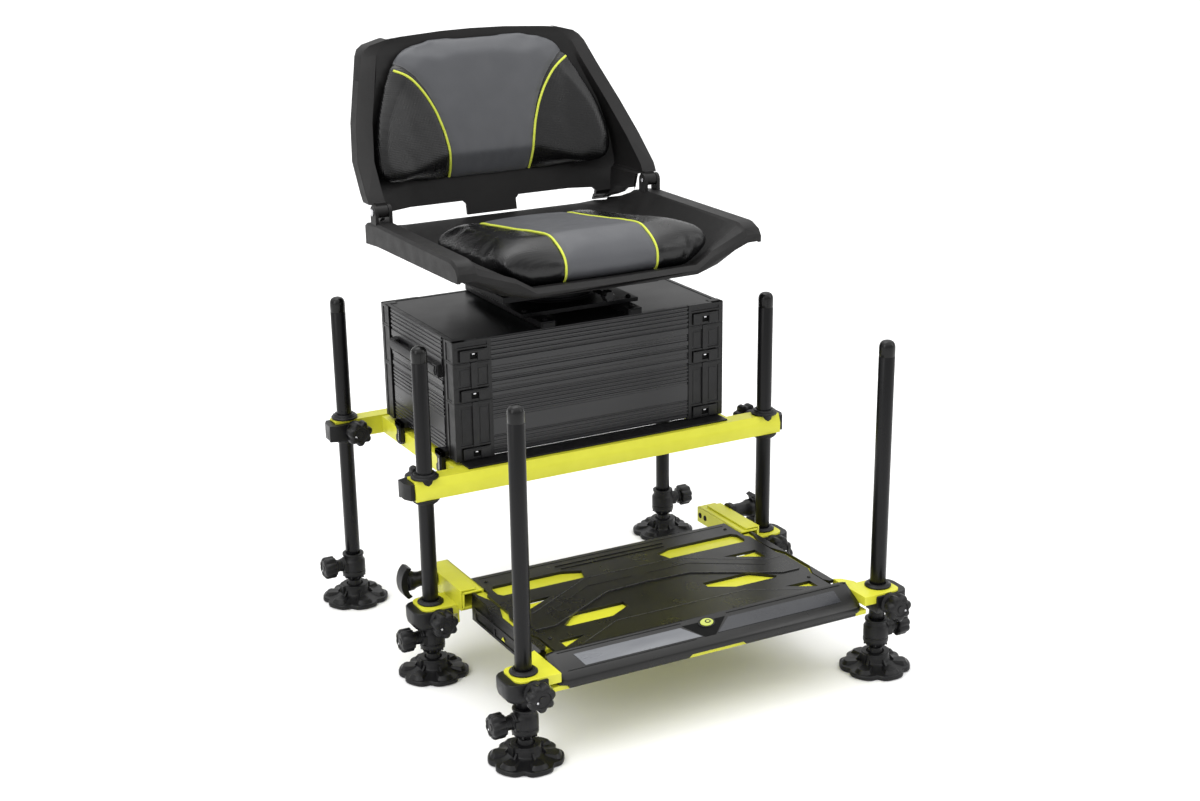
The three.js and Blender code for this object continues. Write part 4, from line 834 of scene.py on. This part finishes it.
def footplate_metal_form():
    """The right half of the lime frame of the footplate."""
    form = Form()
    for wall in ((237.7, 240.7, 119.3, 146.7), (270.7, 273.7, 119.3, 146.7), (238, 273.4, 119.3, 122.3),
                 (238, 273.4, 143.7, 146.7)):
        form.prism(rectangle(*wall), -215, -75, 0, "y")
    # Two near-black discs on the beam's inner wall: painted shade standing in for its two holes
    for y in (-85, -101):
        form.rod(5, 236.9, 238.5, 18, 1, "x", (0, y, 133))
    form.block(238, 257.3, -450, -214, 137, 140.7)
    form.block(237.7, 246, -450, -214, 119.3, 138)
    form.block(0, 238.5, -479.6, -440, 109, 140.6)
    form.block(0, 274, -524, -440, 109, 116.7)
    for along in (0.06, 0.194, 0.454, 0.686):
        y = deck_at(0, along)[1]
        form.block(0, 238.5, y - 17, y + 17, 128.7, 140.7)
    return form


footplate_metal = Form()
for side in (-1, 1):
    strap = Form().prism([(264.3, -480), (288, -477), (288, -470), (276, -452), (264.3, -446)], 128, 142)
    for form in (footplate_metal_form(), lime_block_form(45.7).moved(LEG_X, FRONT_Y, 111), strap):
        footplate_metal.plus(form.moved(side=side))
footplate_metal.make("footplate_metal", "footplate", [lime, painted_shade_recess], 0.8, replaces=["footplate_frame"],
                     slot="lime_coat")


def side_cover_form():
    """The black cover along a footplate beam, on the right: a long box with a slot and a chamfered top strip."""
    form = Form().prism([
        (245.7, 99.3), (259.7, 99.3), (259.7, 128), (258.6, 139.8), (257.5, 139.8), (257.5, 136.8), (246.2, 136.8),
        (246.2, 118),
    ], -449, -216, 0, "y")
    # The plan of the strip on top, whose inner edge steps in and out
    form.prism([
        (259.2, -216), (254, -216), (254, -229), (245.5, -258), (245.5, -290), (257.5, -325), (257.5, -390),
        (245.5, -417), (245.5, -446), (252, -456), (259.2, -456),
    ], 139.6, 145)
    form.block(259, 261.6, -440, -228, 118.6, 124.6)
    form.block(259, 261.6, -440, -228, 102.4, 106)
    for y in (-440, -372, -300, -232):
        form.block(259, 261.4, y - 2, y + 2, 103, 124)
    return form.prism([(-338, 110), (-332, 116), (-326, 110)], 261, 262, 1, "x")


for flank, side in FLANKS:
    side_cover_form().moved(side=side).make(f"footplate_cover_{flank}", "footplate", [deck_black, lime_trim], 0.7)


# Deck: its solid with raised ribs, seams and frames round the slots, and lighter strips along the fields' edges as a
# painted highlight

dress("footplate_deck", deck_black, 1.0)


def strips(form, path, width, rise, slot=0):
    """Flat strips on the deck, along a path of shares of its half width and depth."""
    path = [deck_at(*place) for place in path]
    for (x0, y0), (x1, y1) in zip(path, path[1:]):
        ahead = Vector((x1 - x0, y1 - y0)).normalized()
        side = Vector((-ahead.y, ahead.x)) * width / 2
        form.prism([
            (x0 + side.x, y0 + side.y), (x1 + side.x, y1 + side.y), (x1 - side.x, y1 - side.y),
            (x0 - side.x, y0 - side.y),
        ], DECK_TOP - 1, DECK_TOP + rise, slot)


def deck_half_form():
    form = Form()
    for path, width, rise in (
        ([(0, 0.03), (0.98, 0.03)], 3, 0.6), ([(0, 0.079), (0.43, 0.079)], 2.4, 1.2),
        ([(0, 0.12), (0.41, 0.12)], 2.4, 1.2), ([(0.27, 0.981), (0.96, 0.981)], 7, 2.3),
        ([(0.05, 0.39), (0.4, 0.39), (0.85, 0.6)], 2, 2.1),
    ):
        strips(form, path, width, rise)
    for path in (
        [(0, 0.298), (0.353, 0.298), (0.909, 0.549), (1.01, 0.549)],
        [(1.01, 0.729), (0.875, 0.729), (0.323, 0.497), (0, 0.483)], [(0, 0.825), (0.496, 0.825), (0.862, 0.978)],
    ):
        # These strips take the third finish, a lighter grey: a painted highlight along the raised fields' edges
        strips(form, path, 1.8, 2, 2)
    for place in ((0.96, 0.08), (0.99, 0.84)):
        form.bolt((*deck_at(*place), DECK_TOP + 0.2), "z", 3.0, 1.2, 1)
    return form


deck_details = Form()
for side in (-1, 1):
    deck_details.plus(deck_half_form().moved(side=side))
deck_details.make("deck_ribs", "footplate", [deck_black, cap_black, deck_painted_highlight], 0.4)


# Nose: a sloping bar with two plates and a spirit level

NOSE_SECTION = [(-480, 117.2), (-530, 117.2), (-530, 123.5), (-528.5, 126.5), (-520.5, 132), (-484.5, 150.4),
                (-482.5, 151), (-480.2, 151)]
Form().loft([
    [(x, min(-480, y + inset) if y < -483 else y, z - (inset * 0.25 if z > 140 else 0)) for y, z in NOSE_SECTION]
    for x, inset in ((-264, 9), (-259, 4), (-252, 0), (252, 0), (259, 4), (264, 9))
]).make("nose_bar", "footplate", [deck_black], 1.0, replaces=["footplate_nose"])

# The nose's slope, as a frame to lay things on: along it, across it from its foot, and out of it
slope_foot = Vector((0, -520.5, 132))
slope_up = Vector((0, 36, 18.4)).normalized()
slope_out = Vector((0, -slope_up.z, slope_up.y))
slope_length = math.hypot(36, 18.4)


def on_slope(form, outline, low, high, slot=0):
    """An outline of (x, share up the slope) as a plate on the nose's slope."""
    form.loft([[slope_foot + slope_up * share * slope_length + slope_out * out + Vector((x, 0, 0))
                for x, share in outline] for out in (low, high)], slot)


plates = Form()
for outline, high, slot in (
    ([(-216, 0.15), (-19, 0.15), (-45, 0.74), (-225, 0.74)], 0.7, 0),
    ([(8, 0.15), (232, 0.15), (232, 0.74), (38.5, 0.74)], 0.7, 1),
    # The third, lower strip between the two plates is near-black painted shade in the gap
    ([(-15, 0.1), (4, 0.1), (35, 0.8), (-41, 0.8)], 0.35, 3),
    ([(-246, 0.08), (-30, 0.08), (-30, 0.1), (-246, 0.1)], 0.9, 2),
):
    on_slope(plates, outline, -1, high, slot)
for side in (-1, 1):
    on_slope(plates, rectangle(side * 40, side * 248, 0.93, 0.97), -1, 0.9, 2)
    plates.prism([(side * 44, 117.6), (side * 250, 117.6), (side * 250, 112.4), (side * 50, 112.4)], -529.6, -524.2,
                 2, "y")
plates.make("nose_plates", "footplate", [brushed, gloss_plate, deck_black, painted_shade_recess], 0.2)

LEVEL_SHARE = 0.7


def oval(half_width, half_height, count):
    angles = [math.tau * step / count for step in range(count)]
    return [(half_width * math.cos(angle), half_height * math.sin(angle)) for angle in angles]


level = Form()
for ring, low, high, slot in ((1.3, -1, 1.4, 1), (1.0, 0.6, 2.4, 0)):
    on_slope(level, [(x * ring, LEVEL_SHARE + v * ring / slope_length) for x, v in oval(11, 7, 36)], low, high, slot)
for ring, low, high, slot in ((1, 1.8, 2.7, 1), (0.6, 2.2, 3.0, 0)):
    on_slope(level, [(x * ring + 2, LEVEL_SHARE + 0.02 + v * ring / slope_length) for x, v in oval(5, 3.4, 24)],
             low, high, slot)
level.make("spirit_level", "footplate", [level_liquid(), cap_black], 0.3)

# Cushions

# The back cushion's seams: height above the ground and half width, in millimetres
BACK_SEAM = [(690, 75), (732, 76), (767, 79), (797, 85), (830, 96), (857, 110), (880, 127), (894, 143), (903, 163),
             (909, 200), (916, 260)]
SEAT_SEAM = 80
RECLINE = 0.2
# How far the pads may swell, and how far they may stand out of their solids, in metres
SWELL_CAP, PROUD = 0.022, 0.0025


def back_seam(point):
    """How far outside the seam a point of the back cushion lies, in millimetres."""
    height, half = point.z / MM, abs(point.x) / MM
    edge = between(BACK_SEAM, height)
    slope = (between(BACK_SEAM, height + 4) - between(BACK_SEAM, height - 4)) / 8
    return (half - edge) / math.sqrt(1 + slope * slope)


def seat_seam(point):
    return abs(point.x) / MM - SEAT_SEAM


def soft_mesh(node_name, name):
    """A closed, evenly meshed copy of a cushion's solid."""
    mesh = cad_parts[node_name].data.copy()
    piece = bpy.data.objects.new(name, mesh)
    scene.collection.objects.link(piece)
    build = bmesh.new()
    build.from_mesh(mesh)
    bmesh.ops.remove_doubles(build, verts=build.verts, dist=2e-5)
    build.to_mesh(mesh)
    build.free()
    forget_shading(mesh)
    remesh = piece.modifiers.new("remesh", "REMESH")
    remesh.mode = "VOXEL"
    remesh.voxel_size = 0.005
    return baked(piece)


def baked(piece):
    """The piece with its modifiers applied."""
    graph = bpy.context.evaluated_depsgraph_get()
    made = bpy.data.meshes.new_from_object(piece.evaluated_get(graph))
    piece.modifiers.clear()
    piece.data = made
    return piece


def smooth_points(piece, times):
    smooth = piece.modifiers.new("smooth", "SMOOTH")
    smooth.factor = 0.5
    smooth.iterations = times
    return baked(piece)


def push(piece, distance):
    """Moves each point along its normal, by millimetres that distance() gives for the point and its normal."""
    mesh = piece.data
    places = [vertex.co.copy() for vertex in mesh.vertices]
    normals = [vertex.normal.copy() for vertex in mesh.vertices]
    for vertex, place, normal in zip(mesh.vertices, places, normals):
        vertex.co = place + normal * distance(place, normal) * MM
    mesh.update()


def surface_of(piece):
    return BVHTree.FromPolygons([v.co for v in piece.data.vertices], [p.vertices for p in piece.data.polygons])


def swell(piece, still):
    """Lets air pressure fill the pad as cloth. Points for which still() is true are pinned."""
    start = [vertex.co.copy() for vertex in piece.data.vertices]
    group = piece.vertex_groups.new(name="pin")
    group.add([v.index for v in piece.data.vertices if still(v.co, v.normal)], 1.0, "REPLACE")
    cloth = piece.modifiers.new("cloth", "CLOTH")
    settings = cloth.settings
    settings.use_pressure = True
    settings.uniform_pressure_force = 4
    settings.effector_weights.gravity = 0
    settings.vertex_group_mass = "pin"
    settings.tension_stiffness = settings.compression_stiffness = 15
    settings.bending_stiffness = 12
    for number in range(1, 21):
        scene.frame_set(number)
    baked(piece)
    scene.frame_set(1)
    for vertex, place in zip(piece.data.vertices, start):
        step = vertex.co - place
        if step.length > SWELL_CAP:
            vertex.co = place + step * (SWELL_CAP / step.length)
    piece.vertex_groups.clear()
    piece.data.update()


def keep_within(piece, solid):
    """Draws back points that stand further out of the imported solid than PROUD."""
    tree = surface_of(solid)
    for vertex in piece.data.vertices:
        near, normal, _, distance = tree.find_nearest(vertex.co)
        if (vertex.co - near).dot(normal) > 0 and distance > PROUD:
            vertex.co = near + (vertex.co - near) * (PROUD / distance)
    piece.data.update()


def finish_cushion(piece, seam, finish, body, replaces):
    subdivide = piece.modifiers.new("subdivide", "SUBSURF")
    subdivide.levels = subdivide.render_levels = 1
    baked(piece)
    mesh = piece.data
    layer = mesh.attributes.new("seam", "FLOAT", "POINT")
    layer.data.foreach_set("value", [seam(vertex.co) for vertex in mesh.vertices])
    mesh.polygons.foreach_set("use_smooth", [True] * len(mesh.polygons))
    mesh.materials.clear()
    mesh.materials.append(finish)
    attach(piece, body)
    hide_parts(replaces)


def groove(distance, depth, width):
    return -depth * math.exp(-((distance / width) ** 2))


def fold(across, along, centre, width, start, stop, depth):
    """A soft crease of a given width, between two places along it."""
    middle, half = (start + stop) / 2, (stop - start) / 2
    fade = math.exp(-(((along - middle) / half) ** 2) * 1.6)
    return -depth * fade * math.exp(-(((across - centre) / width) ** 2))


# Creases of the back cushion: place across, its lean, width, lower and upper end, depth
BACK_FOLDS = [(-44, 0.10, 7, 704, 780, 1.4), (-18, 0.04, 7, 704, 766, 1.2), (8, 0, 7, 704, 770, 1.2),
              (34, -0.08, 7, 704, 776, 1.4), (-150, 0.3, 10, 722, 800, 1.2), (156, -0.3, 10, 722, 800, 1.2)]


def back_shape(place, normal):
    x, z = place.x / MM, place.z / MM
    if normal.y > 0.3:
        return 0
    depth = groove(back_seam(place), 3.6, 4.5)
    for centre, lean, width, start, stop, deep in BACK_FOLDS:
        depth += fold(x + lean * (z - start), z, centre, width, start, stop, deep)
    depth += 0.5 * noise.noise(Vector((x, z, 3)) * 0.035)
    return depth


SEAT_FOLDS = [(-160, 0.2, 9, -100, -40, 1.0), (142, 0.3, 6, -104, -56, 1.8), (158, 0.1, 5, -104, -60, 1.8)]


def seat_shape(place, normal):
    x, y = place.x / MM, (place.y - SHIFT) / MM + 132.6
    if normal.z < -0.3:
        return 0
    depth = groove(seat_seam(place), 3.4, 4.5)
    for centre, lean, width, start, stop, deep in SEAT_FOLDS:
        depth += fold(x + lean * (y - start), y, centre, width, start, stop, deep)
    depth += 0.5 * noise.noise(Vector((x, y, 9)) * 0.03)
    return depth


def cushion(node_name, name, shape, still, seam, finish, body):
    piece = smooth_points(soft_mesh(node_name, name), 12)
    push(piece, lambda place, normal: 0 if still(place, normal) else -2.0)
    swell(piece, still)
    piece = smooth_points(piece, 24)
    keep_within(piece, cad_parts[node_name])
    piece = smooth_points(piece, 8)
    piece.data.update()
    push(piece, shape)
    finish_cushion(piece, seam, finish, body, node_name)
    return piece


back_pad = cushion("backrest_cushion", "back_pad", back_shape, lambda place, normal: normal.y > 0.25, back_seam,
                   vinyl_surface("back_vinyl", 0, 2), "back")
seat_pad = cushion("seat_cushion", "seat_pad", seat_shape, lambda place, normal: normal.z < -0.25, seat_seam,
                   vinyl_surface("seat_vinyl", 0, 1), "seat")


def seat_piping(tree, x):
    """Where a seam line over the seat cushion meets its surface, rear to front and down over the front edge."""
    path = []
    low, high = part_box("seat_cushion")
    rear, front = high.y - 0.012, low.y + 0.045
    height = low.z + 0.035
    rays = [(rear + (front - rear) * k / 40, 90) for k in range(41)]
    rays += [(front, angle) for angle in range(86, -26, -4)]
    for y, angle in rays:
        aim = Vector((0, -math.cos(math.radians(angle)), math.sin(math.radians(angle))))
        hit, _, _, _ = tree.ray_cast(Vector((x * MM, y, height)), aim)
        if hit is not None:
            path.append(hit + aim * PIPING_OUT)
    return path


def back_piping(tree, side):
    """The same over the back cushion, from under its foot to its upper side."""
    path = []
    aim = Vector((0, -1, RECLINE * 0.5)).normalized()
    for step in range(64):
        height = 712 + (905 - 712) * step / 63
        half = between(BACK_SEAM, height)
        hit, far = None, Vector((side * half * MM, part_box("backrest_cushion")[1].y + 0.05, height * MM - 0.02))
        for _ in range(6):
            found, _, _, _ = tree.ray_cast(far, aim)
            if found is None:
                break
            hit, far = found, found + aim * 0.0005
        if hit is not None:
            path.append(hit + aim * PIPING_OUT)
    return path


def even(path):
    """A path's points in the source's millimetres, evened out and slightly smoothed."""
    path = [Vector((p.x / MM, (p.y - SHIFT) / MM, p.z / MM)) for p in path]
    kept = [path[0]]
    for point in path[1:]:
        if (point - kept[-1]).length >= 4.0:
            kept.append(point)
    for _ in range(2):
        kept = [kept[0]] + [(a + b * 2 + c) / 4 for a, b, c in zip(kept, kept[1:], kept[2:])] + [kept[-1]]
    return kept


PIPING_OUT = 0.0008
seat_tree, back_tree = surface_of(seat_pad), surface_of(back_pad)
for flank, side in FLANKS:
    for body, path in (("seat", seat_piping(seat_tree, side * SEAT_SEAM)), ("back", back_piping(back_tree, side))):
        Form().tube(even(path), 2.1, 12).make(f"{body}_piping_{flank}", body, [piping], 0, 60, slot="vinyl")


# Studio: a pale floor, a soft sky and large lamps

floor_mesh = bpy.data.meshes.new("floor")
floor_mesh.from_pydata([(-30, -30, 0), (30, -30, 0), (30, 30, 0), (-30, 30, 0)], [], [(0, 1, 2, 3)])
floor = bpy.data.objects.new("floor", floor_mesh)
scene.collection.objects.link(floor)
paper, paper_tree, paper_bsdf, paper_place = shader("paper_floor", 0.9)
paper_tree.links.new(
    blend_colours(paper_tree, noise_of(paper_tree, paper_place, 3, 2), (0.86, 0.86, 0.86), (0.88, 0.88, 0.88)),
    paper_bsdf.inputs["Base Color"])
floor_mesh.materials.append(paper)

world = bpy.data.worlds.new("studio")
world.use_nodes = True
sky_tree = world.node_tree
sky = sky_tree.nodes["Background"]
sky.inputs["Color"].default_value = (1, 1, 1, 1)
toward = node(sky_tree, "ShaderNodeTexCoord").outputs["Generated"]
upward = node(sky_tree, "ShaderNodeSeparateXYZ", Vector=toward).outputs["Z"]
overhead = spread(sky_tree, upward, 0.4, 2.0, 0.1, 0.9)
horizon = spread(sky_tree, upward, 1.0, 0.4, 0.11, 0.16)
sky_tree.links.new(calc(sky_tree, "MAXIMUM", overhead, horizon), sky.inputs["Strength"])
scene.world = world


def lamp(name, place, aim, size, energy):
    data = bpy.data.lights.new(name, "AREA")
    data.shape = "RECTANGLE"
    data.size, data.size_y = size
    data.energy = energy
    made = bpy.data.objects.new(name, data)
    made.location = place
    made.rotation_mode = "QUATERNION"
    made.rotation_quaternion = (Vector(aim) - Vector(place)).to_track_quat("-Z", "Y")
    scene.collection.objects.link(made)


lamp("overhead", (-0.2, 0.6, 3.4), (0, 0, 0.4), (2.6, 1.8), 30)
lamp("left_panel", (-3.2, -1.0, 2.0), (0, 0, 0.5), (1.6, 2.4), 32)
lamp("right_panel", (3.0, -2.2, 2.2), (0, 0, 0.5), (1.4, 2.2), 22)
